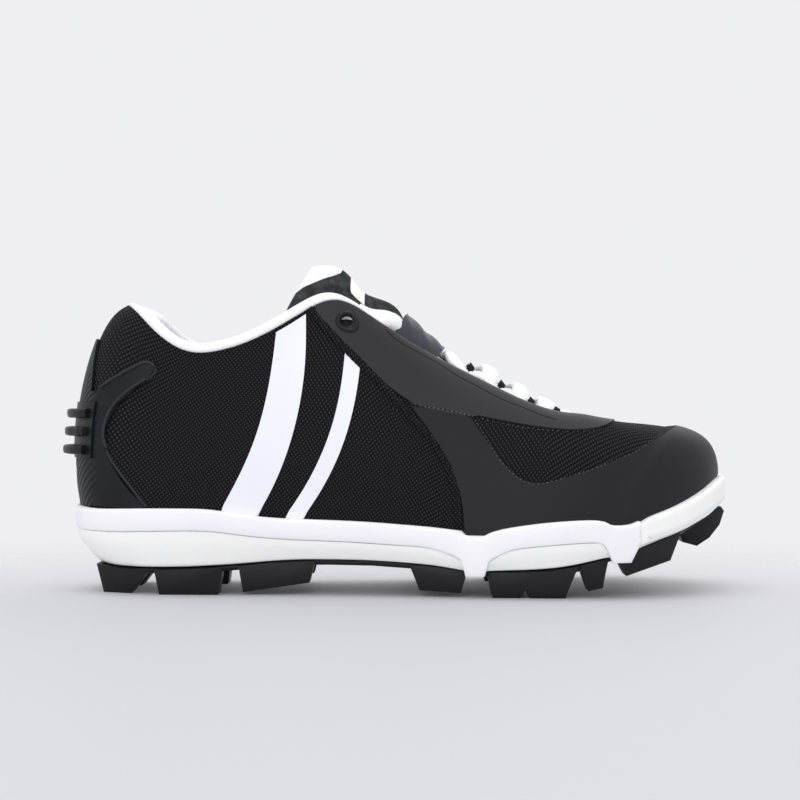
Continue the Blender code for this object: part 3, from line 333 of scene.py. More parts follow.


# Upper. A sandwich mesh, stitched to its pattern and lasted: rows of small raised knots, which
# catch the light as short dashes (a painted highlight on the knots' tops), over a near-black ground.
# The laces draw its throat down a little.
KNOT_PITCH = 1.7 * MM          # two columns of knots
ROW_PITCH = 1.97 * MM          # two rows of knots
KNOT_LEAN = 0.17               # lean of the rows and of the columns
VAMP_LEAN = 0.28               # how much more the rows lean over the forefoot
VAMP_START = 10 * MM           # along the shoe, from where they do
CLOTH_UNIT = 10                # of the cloth's map, in a metre
BEND_FOOT = 60 * MM            # from this height up the rows bend with the top line,
BEND_RISE = 50 * MM            # in full this much higher
BEND_LEVEL = 105 * MM          # height of the top line at which the rows run straight
BEND_SHARE = 0.7               # share of the top line's rise and fall that the rows take
GIRTH_START = 20 * MM          # along the shoe, where the rows start to fan over the forefoot
GIRTH_BLEND = 40 * MM          # and the length over which they come to it
GIRTH_AXIS = 20 * MM           # height of the line that they fan round, and their distance from it
GIRTH_RADIUS = 48 * MM
HEEL_START = -95 * MM          # along the shoe, where the cloth turns round the heel
HEEL_REACH = 35 * MM
HEEL_WRAP = 0.4                # share of the way across that counts as way along
COLLAR_LINE = ((-140, 112), (-113, 119), (-104, 114), (-90, 103), (-74, 98.5), (-55, 103), (-40, 113),
               (-20, 121), (0, 112), (60, 80), (140, 75))


def height_on(line, x):
    """Height of a line, given in millimetres forward and up, at a place along the shoe, in metres."""
    x /= MM
    for (x0, z0), (x1, z1) in zip(line, line[1:]):
        if x <= x1:
            share = max((x - x0) / (x1 - x0), 0)
            return (z0 + (z1 - z0) * share) * MM
    return line[-1][1] * MM


def lay_cloth(piece):
    """Maps the mesh's rows on the piece: along the shoe, and up its girth, bent to the top line."""
    layer = piece.data.uv_layers.get("cloth") or piece.data.uv_layers.new(name="cloth")
    piece.data.uv_layers.active = layer
    for loop in piece.data.loops:
        x, y, z = piece.data.vertices[loop.vertex_index].co
        near_top = min(max((z - BEND_FOOT) / BEND_RISE, 0), 1)
        girth = z
        if x > GIRTH_START:
            blend = min((x - GIRTH_START) / GIRTH_BLEND, 1)
            angle = math.atan2(z - GIRTH_AXIS, abs(y))
            girth = z * (1 - blend) + GIRTH_RADIUS * angle * blend
        turned = min(max((HEEL_START - x) / HEEL_REACH, 0), 1) ** 2
        along = x + abs(y) * HEEL_WRAP * turned
        bend = (height_on(COLLAR_LINE, x) - BEND_LEVEL) * near_top * BEND_SHARE if x < 0 else 0
        lean = max(x - VAMP_START, 0) * VAMP_LEAN
        layer.data[loop.index].uv = (along * CLOTH_UNIT, (girth - bend + lean) * CLOTH_UNIT)


def knotted_mesh(name, knot_highlight, ground):
    """Mesh cloth: knots in staggered rows, on the cloth's own map, with a painted highlight on their tops."""
    material, shader = new_material(name)
    tree = material.node_tree
    place = tree.nodes.new("ShaderNodeUVMap")
    place.uv_map = "cloth"
    split = tree.nodes.new("ShaderNodeSeparateXYZ")
    tree.links.new(place.outputs["UV"], split.inputs["Vector"])

    def wave(along, pitch, aside, lean):
        leaned = tree.nodes.new("ShaderNodeMath")
        leaned.operation = "MULTIPLY_ADD"
        leaned.inputs[1].default_value = lean
        scaled = tree.nodes.new("ShaderNodeMath")
        scaled.operation = "MULTIPLY"
        scaled.inputs[1].default_value = 2 * math.pi / (pitch * CLOTH_UNIT)
        tree.links.new(split.outputs[aside], leaned.inputs[0])
        tree.links.new(split.outputs[along], leaned.inputs[2])
        tree.links.new(leaned.outputs[0], scaled.inputs[0])
        cosine = tree.nodes.new("ShaderNodeMath")
        cosine.operation = "COSINE"
        tree.links.new(scaled.outputs[0], cosine.inputs[0])
        return cosine.outputs[0]

    across = wave("X", KNOT_PITCH, "Y", -KNOT_LEAN)
    up = wave("Y", ROW_PITCH, "X", KNOT_LEAN)
    knots = tree.nodes.new("ShaderNodeMath")
    knots.operation = "MULTIPLY"
    tree.links.new(across, knots.inputs[0])
    tree.links.new(up, knots.inputs[1])
    # The knots' tops take the lighter colour: a painted highlight of the light that they catch.
    ramp = tree.nodes.new("ShaderNodeValToRGB")
    ramp.color_ramp.elements[0].position = 0.1
    ramp.color_ramp.elements[0].color = ground
    ramp.color_ramp.elements[1].position = 0.75
    ramp.color_ramp.elements[1].color = knot_highlight
    tree.links.new(knots.outputs[0], ramp.inputs["Fac"])
    tree.links.new(ramp.outputs["Color"], shader.inputs["Base Color"])
    bump = tree.nodes.new("ShaderNodeBump")
    bump.inputs["Strength"].default_value = 0.6
    bump.inputs["Distance"].default_value = 0.35 * MM
    tree.links.new(knots.outputs[0], bump.inputs["Height"])
    tree.links.new(bump.outputs["Normal"], shader.inputs["Normal"])
    shader.inputs["Roughness"].default_value = 0.75
    shader.inputs["Specular IOR Level"].default_value = 0.12
    return material


def surface_of(*pieces):
    """One search tree over the surfaces of several pieces."""
    corners = []
    faces = []
    for piece in pieces:
        start = len(corners)
        corners += [vertex.co.copy() for vertex in piece.data.vertices]
        faces += [[start + index for index in face.vertices] for face in piece.data.polygons]
    return BVHTree.FromPolygons(corners, faces)


LACE_PULL = 2.8 * MM           # by which the laces draw the throat down, most of all here:
PULL_PLACE = 63 * MM           # along the shoe
PULL_REAR = 28 * MM            # and this far behind it and ahead of it
PULL_FRONT = 16 * MM
PULL_HALF = 16 * MM            # in full to this far from the middle, and not at all beyond the next
PULL_END = 34 * MM


def hump(share):
    """Smooth swelling that is 1 in its middle and 0 from -1 outwards and from 1 outwards."""
    return max(1 - share * share, 0) ** 2


def pull(point):
    """How far the laces draw a point of the throat down."""
    along = point.x - PULL_PLACE
    aside = (PULL_END - abs(point.y - SHOE_MIDDLE)) / (PULL_END - PULL_HALF)
    return LACE_PULL * hump(along / (PULL_REAR if along < 0 else PULL_FRONT)) * min(max(aside, 0), 1)


def pull_down(piece):
    """Draws a piece down with the throat."""
    for vertex in piece.data.vertices:
        vertex.co.z -= pull(vertex.co)


upper = cad_copy("upper", "mesh_upper")
soft_surface(upper, 2)
pull_down(upper)
lay_cloth(upper)
# First colour: the painted highlight on the knots' tops; second: the ground's own near-black.
mesh_cloth = knotted_mesh("upper_mesh", linear(56, 54, 62), linear(13, 12, 15))
fit_to_shoe(upper, mesh_cloth, "mesh_black", "upper")
upper_skin = surface_of(upper)
sole_top = surface_of(midsole, rim)


# Rand and toe cap. One smooth, matt film round the forefoot with a wing up each side, heat-pressed
# to the mesh, with a soft step where the toe is stiffened from inside.
CAD_WALL = 1.1 * MM            # of the overlays in the part's source, with their gap under them
FILM_GAP = 0.75 * MM
FILM_WALL = 0.7 * MM           # of the film as it looks
SINK = 0.15 * MM               # how far its underside sits in the cloth
SEAT_REACH = 2.6 * MM          # over the sole, where a film runs down behind the rim
SEAT_DROP = 1.4 * MM
TOE_STEP = 0.9 * MM            # height of the step at the toe
TOE_START = 91 * MM            # along the shoe, where it is low down,
TOE_LEVEL = 44 * MM            # up to this height; above it the step's line curves forward
TOE_CURVE = 0.9
TOE_RAMP = 4 * MM


def press_on(piece, surface, gap, wall, sink, thickness):
    """Brings a copied overlay down on the cloth: its gap to a sink, its wall to a thickness."""
    for vertex in piece.data.vertices:
        spot, _, _, distance = surface.find_nearest(vertex.co)
        if distance > 0.05 * MM:
            pressed = (distance - gap) / wall * thickness - sink
            vertex.co = spot + (vertex.co - spot) / distance * pressed


def run_down(piece, sole):
    """Lowers the foot of an overlay until it ends behind the rim."""
    for vertex in piece.data.vertices:
        distance = sole.find_nearest(vertex.co)[3]
        if distance < SEAT_REACH:
            vertex.co.z -= SEAT_DROP * (1 - distance / SEAT_REACH)


def toe_step(point):
    """Share of the toe's step at a point."""
    start = TOE_START + max(point.z - TOE_LEVEL, 0) * TOE_CURVE
    share = min(max((point.x - start) / TOE_RAMP, 0), 1)
    return share * share * (3 - 2 * share)


def pressed_film(name, dark, light, roughness=0.5):
    return finish(name, dark, light, 14, roughness, (1300, 0.2, 0.1 * MM), 0.2)


rand = cad_copy("forefoot_rand", "forefoot_film")
soft_surface(rand, 2)
press_on(rand, upper_skin, FILM_GAP, CAD_WALL, SINK, FILM_WALL)
run_down(rand, sole_top)
outward = [vertex.normal.copy() for vertex in rand.data.vertices]
for vertex, normal in zip(rand.data.vertices, outward):
    vertex.co += normal * TOE_STEP * toe_step(vertex.co)
rand_film = pressed_film("rand_film", linear(28, 28, 32), linear(34, 34, 38))
fit_to_shoe(rand, rand_film, "smooth_black", "forefoot_rand")


# Eyestay. A smooth film in a U round the throat, heat-pressed and sewn to the mesh. It stiffens the
# edge for the laces, carries the top eyelets and laps over the rand.
LAP_REACH = 3 * MM             # of the eyestay's edge from the rand, where it is drawn over
LAP_SLIDE = 2.2 * MM           # and by how much
LAP_LIFT = 0.2 * MM


def reach_over(piece, other, reach, slide, lift):
    """Draws the edge of an overlay across the gap to its neighbour, and a little over it."""
    outward = [vertex.normal.copy() for vertex in piece.data.vertices]
    for vertex, normal in zip(piece.data.vertices, outward):
        spot, _, _, distance = other.find_nearest(vertex.co)
        if distance < reach:
            near = 1 - distance / reach
            vertex.co += (spot - vertex.co).normalized() * slide * near + normal * lift * near


eyestay = cad_copy("eyestay", "throat_overlay")
soft_surface(eyestay, 2)
pull_down(eyestay)
press_on(eyestay, upper_skin, FILM_GAP, CAD_WALL, SINK, FILM_WALL + SINK)
reach_over(eyestay, surface_of(rand), LAP_REACH, LAP_SLIDE, LAP_LIFT)
# The eyestay takes the rand's black film painted lighter: painted light on this band that faces up at the top
# of the shoe.
eyestay_film_painted_light = pressed_film("eyestay_film_painted_light", linear(45, 45, 48), linear(53, 53, 56))
fit_to_shoe(eyestay, eyestay_film_painted_light, "smooth_black", "eyestay")


# Heel counter. A moulded cup with a tab up the back and an arm on each side, cemented to the mesh,
# with a fine diagonal twill round its back.
TWILL_PITCH = 3.2 * MM
TWILL_START = -130 * MM        # along the shoe, where the twill is full
TWILL_END = -122 * MM          # and where it has faded out
COUNTER_GAP = 1.1 * MM         # in the part's source
COUNTER_WALL = 0.9 * MM


def counter_moulding():
    material, shader = new_material("counter_moulding")
    vary_colour(material, shader, linear(17, 19, 24), linear(23, 26, 32), 30)
    shader.inputs["Roughness"].default_value = 0.45
    shader.inputs["Specular IOR Level"].default_value = 0.2
    add_twill(material, add_grain(material, shader, 1000, 0.3, 0.15 * MM))
    return material


def add_twill(material, bump):
    """Diagonal ribs on the back of the counter, which fade out towards its sides."""
    tree = material.node_tree

    def math_node(operation, first, second):
        node = tree.nodes.new("ShaderNodeMath")
        node.operation = operation
        for socket, value in zip(node.inputs, (first, second)):
            if isinstance(value, bpy.types.NodeSocket):
                tree.links.new(value, socket)
            elif value is not None:
                socket.default_value = value
        return node.outputs[0]

    place = tree.nodes.new("ShaderNodeTexCoord")
    split = tree.nodes.new("ShaderNodeSeparateXYZ")
    tree.links.new(place.outputs["Object"], split.inputs["Vector"])
    aside = math_node("ABSOLUTE", split.outputs["Y"], None)
    slope = math_node("SUBTRACT", split.outputs["Z"], aside)
    wave = math_node("SINE", math_node("MULTIPLY", slope, 2 * math.pi / TWILL_PITCH), None)
    fade = tree.nodes.new("ShaderNodeMapRange")
    fade.inputs["From Min"].default_value = TWILL_END
    fade.inputs["From Max"].default_value = TWILL_START
    tree.links.new(split.outputs["X"], fade.inputs["Value"])
    ribs_bump = tree.nodes.new("ShaderNodeBump")
    ribs_bump.inputs["Strength"].default_value = 0.5
    ribs_bump.inputs["Distance"].default_value = 0.4 * MM
    tree.links.new(math_node("MULTIPLY", wave, fade.outputs["Result"]), ribs_bump.inputs["Height"])
    tree.links.new(ribs_bump.outputs["Normal"], bump.inputs["Normal"])


counter = cad_copy("heel_counter", "heel_moulding")
soft_surface(counter, 2)
press_on(counter, upper_skin, COUNTER_GAP, CAD_WALL, SINK, COUNTER_WALL)
run_down(counter, sole_top)
fit_to_shoe(counter, counter_moulding(), "moulded_black", "heel_counter")


# Heel ribs. A thin block moulded on the back of the counter, with three square ribs that run round
# it and are tallest in the middle.
HEEL_CENTRE = -98 * MM         # along the shoe, middle of the round of the heel
HEEL_CLEAR = 80 * MM           # from there to a place well behind the heel
BLOCK_TOP = 78.6 * MM
BLOCK_FOOT = 55.4 * MM
BLOCK_SWEEP = 37               # degrees from the back to an end of the block
BLOCK_WALL = 1.1 * MM
BLOCK_SINK = 0.2 * MM
RIBS = (
    # height over the floor and reach out of the block, in millimetres
    (73.9, 3.6),
    (66.4, 3.9),
    (58.8, 4.4),
)
RIB_SWEEP = 32                 # degrees
RIB_STEPS = 20                 # from the middle of a rib to its end
RIB_WIDTH = 3.9 * MM
RIB_ROOT = 1 * MM              # of a rib, inside the block
RIB_END_REACH = 0.55           # share of its reach that a rib has at its ends
counter_skin = surface_of(counter)


def round_heel(height, angle):
    """Point on the counter at a height and at an angle round the heel, and the level way out of it."""
    outward = Vector((-math.cos(angle), -math.sin(angle), 0))
    centre = Vector((HEEL_CENTRE, SHOE_MIDDLE, height))
    return counter_skin.ray_cast(centre + outward * HEEL_CLEAR, -outward)[0], outward


def sheet_piece(name, grid, wall):
    """A sheet with its wall on its outer side, rounded by subdivision."""
    bm = bmesh.new()
    verts = [[bm.verts.new(point) for point in row] for row in grid]
    for row, after in zip(verts, verts[1:]):
        for k in range(len(row) - 1):
            bm.faces.new((row[k], row[k + 1], after[k + 1], after[k]))
    piece = new_piece(bm, name)
    solidify = piece.modifiers.new("wall", "SOLIDIFY")
    solidify.thickness = wall
    solidify.offset = 1
    apply_modifiers(piece)
    soft_surface(piece, 2, 60)
    return piece


def tape_along(name, path, ups, widths, thicknesses, sides=14, fullness=0.8):
    """A flat tape along a path, with its flat side to the given directions and closed ends."""
    bm = bmesh.new()
    rings = []
    for i, point in enumerate(path):
        ahead = path[min(i + 1, len(path) - 1)] - path[max(i - 1, 0)]
        ahead.normalize()
        aside = ahead.cross(ups[i])
        aside.normalize()
        up = aside.cross(ahead)
        ring = []
        for k in range(sides):
            angle = 2 * math.pi * (k + 0.5) / sides
            wide = math.copysign(abs(math.cos(angle)) ** fullness, math.cos(angle)) * widths[i] / 2
            tall = math.copysign(abs(math.sin(angle)) ** fullness, math.sin(angle)) * thicknesses[i] / 2
            ring.append(bm.verts.new(point + aside * wide + up * tall))
        rings.append(ring)
    for ring, after in zip(rings, rings[1:]):
        for k in range(sides):
            bm.faces.new((ring[k], ring[(k + 1) % sides], after[(k + 1) % sides], after[k]))
    bm.faces.new(rings[0][::-1])
    bm.faces.new(rings[-1])
    bmesh.ops.recalc_face_normals(bm, faces=bm.faces)
    piece = new_piece(bm, name)
    smooth_shading(piece, 60)
    return piece


rib_finish = pressed_film("rib_moulding", linear(20, 20, 23), linear(27, 27, 31), 0.4)
block_grid = []
for row in range(5):
    height = BLOCK_FOOT + (BLOCK_TOP - BLOCK_FOOT) * row / 4
    spots = [round_heel(height, math.radians(BLOCK_SWEEP * k / 8)) for k in range(-8, 9)]
    block_grid.append([spot - outward * BLOCK_SINK for spot, outward in spots])
block = sheet_piece("heel_rib_block", block_grid, BLOCK_WALL)
fit_to_shoe(block, rib_finish, "moulded_black", "heel_ribs")
for number, (height, reach) in enumerate(RIBS, 1):
    path = []
    ups = []
    thicknesses = []
    for k in range(-RIB_STEPS, RIB_STEPS + 1):
        spot, outward = round_heel(height * MM, math.radians(RIB_SWEEP * k / RIB_STEPS))
        fullness = RIB_END_REACH + (1 - RIB_END_REACH) * (1 - abs(k / RIB_STEPS) ** 3)
        thicknesses.append(RIB_ROOT + reach * fullness * MM)
        path.append(spot + outward * thicknesses[-1] / 2)
        ups.append(outward)
    rib = tape_along(f"heel_rib_{number}", path, ups, [RIB_WIDTH] * len(path), thicknesses, 16, 0.55)
    fit_to_shoe(rib, rib_finish, "moulded_black")


# Side stripes. Plain white films, a wide and a narrow one on each side, cut with straight edges and
# heat-pressed to the mesh, with their feet tucked in behind the rim.
STRIPE_GAP = 0.45 * MM         # in the part's source
STRIPE_WALL = 0.6 * MM
STRIPE_SINK = 0.1 * MM
STRIPE_LOOK = 0.5 * MM         # wall as it looks

white_film = finish("stripe_film", linear(240, 242, 248), linear(246, 247, 251), 10, 0.42,
                    (800, 0.1, 0.1 * MM), 0.3)
for side in ("lateral", "medial"):
    for width in ("wide", "narrow"):
        stripe = cad_copy(f"quarter_stripe_{width}_{side}", f"stripe_{width}_{side}")
        soft_surface(stripe, 3)
        press_on(stripe, upper_skin, STRIPE_GAP, STRIPE_WALL, STRIPE_SINK, STRIPE_LOOK)
        run_down(stripe, sole_top)
        fit_to_shoe(stripe, white_film, "film_white", f"quarter_stripe_{width}_{side}")


# Collar lining. White spacer cloth over soft foam, sewn inside the heel and turned out over the top
# line as a soft roll.
ROLL_SWELL = 0.8 * MM          # how much fuller the roll is than its core
ROLL_DEPTH = 9 * MM            # under the top line, where the fullness starts
ROLL_FADE = 6 * MM             # and the height over which it comes in

lining_cloth = finish("lining_cloth", linear(240, 240, 242), linear(248, 248, 249), 50, 0.95,
                      (1800, 0.5, 0.3 * MM), sheen_weight=0.4)
lining = cad_copy("collar_lining", "collar_roll")
soft_surface(lining, 3, 75)
outward = [vertex.normal.copy() for vertex in lining.data.vertices]
for vertex, normal in zip(lining.data.vertices, outward):
    under_top = height_on(COLLAR_LINE, vertex.co.x) - vertex.co.z
    rolled = min(max((ROLL_DEPTH - under_top) / ROLL_FADE, 0), 1)
    vertex.co += normal * ROLL_SWELL * rolled
fit_to_shoe(lining, lining_cloth, "lining_white", "collar_lining")


# Tongue. Padded, faced with a dark mottled knit that stops short of its top; above that and on its
# back it is the white lining. It swells between the keeper and a bare white label.
KNIT_EDGE = ((-60, 112), (-45.6, 116.2), (-40, 121.5), (-35.2, 126.5), (-29, 130.2), (-23, 132.8), (-19, 142),
             (-18.999, 1000))
RIDGE_MIDDLE = -4 * MM         # the tongue's padding swells here, above the keeper
RIDGE_REACH = 12 * MM
RIDGE_HALF = 11 * MM
RIDGE_RISE = 6.0 * MM
WING_START = -26 * MM          # behind this, the top of the tongue is wider than its core
WING_STRETCH = 0.35
CORE_FORWARD = 10 * MM         # middle of the tongue's round, forward of a point on it and below it
CORE_DROP = 22 * MM
BACK = 8 * MM                  # more than any height over the knit's edge


def tongue_cloth():
    material, shader = new_material("tongue_cloth")
    tree = material.node_tree
    shader.inputs["Roughness"].default_value = 0.85
    shader.inputs["Specular IOR Level"].default_value = 0.2
    add_grain(material, shader, 1500, 0.5, 0.3 * MM)
    place = tree.nodes.new("ShaderNodeTexCoord")
    cloud = tree.nodes.new("ShaderNodeTexNoise")
    cloud.inputs["Scale"].default_value = 260
    knit = tree.nodes.new("ShaderNodeValToRGB")
    knit.color_ramp.elements[0].position = 0.35
    knit.color_ramp.elements[0].color = linear(34, 37, 40)
    knit.color_ramp.elements[1].position = 0.7
    knit.color_ramp.elements[1].color = linear(62, 66, 68)
    lined = tree.nodes.new("ShaderNodeAttribute")
    lined.attribute_name = "lined"
    edge = tree.nodes.new("ShaderNodeMapRange")
    edge.inputs["From Min"].default_value = -0.15
    edge.inputs["From Max"].default_value = 0.15
    mix = tree.nodes.new("ShaderNodeMix")
    mix.data_type = "RGBA"
    mix.inputs["B"].default_value = linear(236, 236, 238)
    tree.links.new(place.outputs["Object"], cloud.inputs["Vector"])
    tree.links.new(cloud.outputs["Fac"], knit.inputs["Fac"])
    tree.links.new(lined.outputs["Fac"], edge.inputs["Value"])
    tree.links.new(edge.outputs["Result"], mix.inputs["Factor"])
    tree.links.new(knit.outputs["Color"], mix.inputs["A"])
    tree.links.new(mix.outputs["Result"], shader.inputs["Base Color"])
    return material


tongue = cad_copy("tongue", "knit_tongue")
soft_surface(tongue, 3, 120)
pull_down(tongue)
lined = tongue.data.attributes.new("lined", "FLOAT", "POINT")
outward = [vertex.normal.copy() for vertex in tongue.data.vertices]
for vertex, normal in zip(tongue.data.vertices, outward):
    x, y, z = vertex.co
    inward = Vector((CORE_FORWARD, SHOE_MIDDLE - y, -CORE_DROP))
    height = z - height_on(KNIT_EDGE, x)
    if normal.dot(inward) > 0:
        height = max(height, BACK)
    lined.data[vertex.index].value = height / MM
    rise = RIDGE_RISE * hump((x - RIDGE_MIDDLE) / RIDGE_REACH) * hump((y - SHOE_MIDDLE) / RIDGE_HALF)
    if normal.dot(inward) < 0:
        vertex.co += normal * rise
    vertex.co.x -= max(WING_START - x, 0) * WING_STRETCH
fit_to_shoe(tongue, tongue_cloth(), "tongue_grey", "tongue")
tongue_surface = surface_of(tongue)


# Tongue label. A patch of white woven tape without any print, sewn flat on the front of the tongue
# under its top.
LABEL_TOP = -18.8 * MM         # along the shoe
LABEL_FOOT = -13.0 * MM
LABEL_HALF = 10 * MM
LABEL_LIFT = 0.15 * MM
LABEL_WALL = 0.6 * MM


def on_tongue(x, y, lift):
    """Point over the tongue at a place seen from above, in metres, and its outward direction."""
    hit, normal, _, _ = tongue_surface.ray_cast(Vector((x, y, 0.3)), Vector((0, 0, -1)))
    if hit is None:
        raise ValueError(f"no tongue under x {x:.4f}, y {y:.4f}")
    return hit + normal * lift, normal


label_grid = []
for row in range(5):
    x = LABEL_FOOT + (LABEL_TOP - LABEL_FOOT) * row / 4
    label_grid.append([on_tongue(x, SHOE_MIDDLE + LABEL_HALF * k / 5, LABEL_LIFT)[0] for k in range(-5, 6)])
label = sheet_piece("tongue_label", label_grid, -LABEL_WALL)
label_cloth = finish("label_cloth", linear(238, 238, 240), linear(246, 246, 247), 60, 0.8,
                     (2600, 0.3, 0.15 * MM))
fit_to_shoe(label, label_cloth, "lining_white")


# Keeper. A sleeve of blue-grey satin, sewn to the tongue at both sides, that the laces run under;
# it is a little slack, with soft folds.
KEEPER_LIFT = 2.6 * MM         # at its upper edge, where the tongue swells under it
KEEPER_UPPER = 2 * MM          # along the shoe, its upper edge
KEEPER_LOWER = 20 * MM         # and its lower one
KEEPER_HALF = 16 * MM
KEEPER_FOLD = 0.35 * MM        # height of its folds
FOLD_WAVES = (900, 250)        # radians a metre, along the shoe and across it

keeper_satin = finish("keeper_satin", linear(50, 53, 60), linear(62, 66, 74), 40, 0.4,
                      (300, 0.4, 0.5 * MM, (0.3, 1, 1)), 0.3)
keeper = cad_copy("tongue_keeper", "lace_sleeve")
soft_surface(keeper, 3)
outward = [vertex.normal.copy() for vertex in keeper.data.vertices]
for vertex, normal in zip(keeper.data.vertices, outward):
    x, y, _ = vertex.co
    upper_end = min(max((KEEPER_LOWER - x) / (KEEPER_LOWER - KEEPER_UPPER), 0), 1)
    middle = max(1 - ((y - SHOE_MIDDLE) / KEEPER_HALF) ** 2, 0)
    vertex.co.z += KEEPER_LIFT * upper_end * middle
    vertex.co += normal * KEEPER_FOLD * math.sin(x * FOLD_WAVES[0] + y * FOLD_WAVES[1]) * middle
fit_to_shoe(keeper, keeper_satin, "keeper_blue_grey", "tongue_keeper")


# Webbing loops. Short folds of black woven tape, four on each side, sewn in under the eyestay's
# edge; the lace in each one pulls it up and forward.
LOOP_STRETCH = 0.75            # how much the lace pulls a loop up
LOOP_HOOK = 0.55               # and forward

loop_tape = finish("loop_tape", linear(20, 20, 23), linear(30, 30, 34), 400, 0.7, (2500, 0.5, 0.3 * MM), 0.2)
for side in ("lateral", "medial"):
    for number in range(1, 5):
        loop = cad_copy(f"lace_loop_{side}_{number}", f"tape_loop_{side}_{number}")
        soft_surface(loop, 2, 60)
        low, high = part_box(f"lace_loop_{side}_{number}")
        for vertex in loop.data.vertices:
            over = max(vertex.co.z - (low.z + high.z) / 2, 0)
            vertex.co.z += over * LOOP_STRETCH
            vertex.co.x += over * LOOP_HOOK
        pull_down(loop)
        fit_to_shoe(loop, loop_tape, "webbing_black", f"lace_loop_{side}_{number}")


# Top eyelets. A moulded rim in the shape of a drop round the top hole of each side, welded on the
# eyestay.
EYELET_SEAT = 2.15 * MM        # over the upper, and its height, in the part's source
EYELET_HEIGHT = 1.5 * MM
EYELET_LOOK = 1.3 * MM         # height as it looks

eyelet_finish = pressed_film("eyelet_moulding", linear(34, 34, 38), linear(41, 41, 45), 0.35)
for side in ("lateral", "medial"):
    eyelet = cad_copy(f"top_eyelet_{side}", f"drop_eyelet_{side}")
    soft_surface(eyelet, 2, 60)
    press_on(eyelet, upper_skin, EYELET_SEAT, EYELET_HEIGHT, -FILM_WALL + 2 * SINK, EYELET_LOOK)
    fit_to_shoe(eyelet, eyelet_finish, "moulded_black", f"top_eyelet_{side}")


# Lace ends. Flat white polyester tape, soft and full. Each end runs under the keeper, swells beside
# the tongue's padding and ends inside the top eyelet.
lace_cloth = finish("lace_cloth", linear(243, 243, 244), linear(252, 252, 252), 200, 0.9,
                    (1600, 0.6, 0.35 * MM), sheen_weight=0.3, subsurface_weight=0.15,
                    subsurface_scale=1 * MM)
LACE_END = (
    # forward, out from the middle and up, in millimetres
    (22.0, 3.8, 97.2),
    (12.2, 4.6, 103.5),
    (5.0, 8.4, 108.0),
    (-1.5, 12.0, 111.6),
    (-8.0, 13.4, 114.2),
    (-15.4, 13.6, 117.6),
)
END_WIDTH = 5 * MM
END_THICKNESS = 3 * MM
PUFF_PLACE = -3 * MM           # along the shoe, where an end swells beside the keeper
PUFF_REACH = 9 * MM
PUFF_WIDER = 0.9               # and by how much of its width and thickness
PUFF_FULLER = 1.3


def soft_path(points, steps):
    """Points along a soft curve through the given ones."""
    points = [Vector(point) for point in points]
    ends = [2 * points[0] - points[1]] + points + [2 * points[-1] - points[-2]]
    path = []
    for a, b, c, d in zip(ends, ends[1:], ends[2:], ends[3:]):
        for step in range(steps):
            t = step / steps
            path.append(0.5 * (2 * b + (c - a) * t + (2 * a - 5 * b + 4 * c - d) * t * t
                               + (3 * b - a - 3 * c + d) * t ** 3))
    path.append(points[-1])
    return path


for side_name, side in (("lateral", -1), ("medial", 1)):
    route = [Vector((x * MM, SHOE_MIDDLE + side * y * MM, z * MM)) for x, y, z in LACE_END]
    path = soft_path(route, 6)
    ups = [(point - tongue_surface.find_nearest(point)[0]).normalized() for point in path]
    puffs = [hump((point.x - PUFF_PLACE) / PUFF_REACH) for point in path]
    widths = [END_WIDTH * (1 + PUFF_WIDER * puff) for puff in puffs]
    thicknesses = [END_THICKNESS * (1 + PUFF_FULLER * puff) for puff in puffs]
    length = sum((b - a).length for a, b in zip(path, path[1:]))
    lace_end = tape_along(f"lace_tail_{side_name}", path, ups, widths, thicknesses)
    fit_to_shoe(lace_end, lace_cloth, "lace_white", f"lace_end_{side_name}")


# Lace crossings. The same tape in two strands that cross over and under each other on the tongue,
# each through every second loop; the first also has the bar at the toe end.
LACE_WIDTH = 8 * MM
LACE_THICKNESS = 3.9 * MM
OVER = 7.2 * MM                # middle of the lace over the tongue where it crosses on top
UNDER = 3.4 * MM               # and where it crosses below
AT_LOOP = 3.4 * MM             # half the length along the throat that a lace spends in a loop
LOOP_LIFT = 0.3 * MM           # of the lace's middle over the middle of a loop
LOOP_PINCH = 0.5               # share of its width that a lace has in a loop
PINCH_REACH = 6 * MM
BAR_FORWARD = 4.5 * MM         # the bar, from the lowest loops, and over the tongue
BAR_LIFT = 4.8 * MM
SLEEVE_PLACE = (21 * MM, 3.8 * MM)     # where a strand goes under the keeper: forward, and from the middle
SLEEVE_LIFT = 4 * MM
loop_places = {}
for side_name, side in (("lateral", -1), ("medial", 1)):
    for number in range(1, 5):
        low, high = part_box(f"lace_loop_{side_name}_{number}")
        middle = (low + high) / 2
        loop_places[side, number] = middle - Vector((0, 0, pull(middle)))

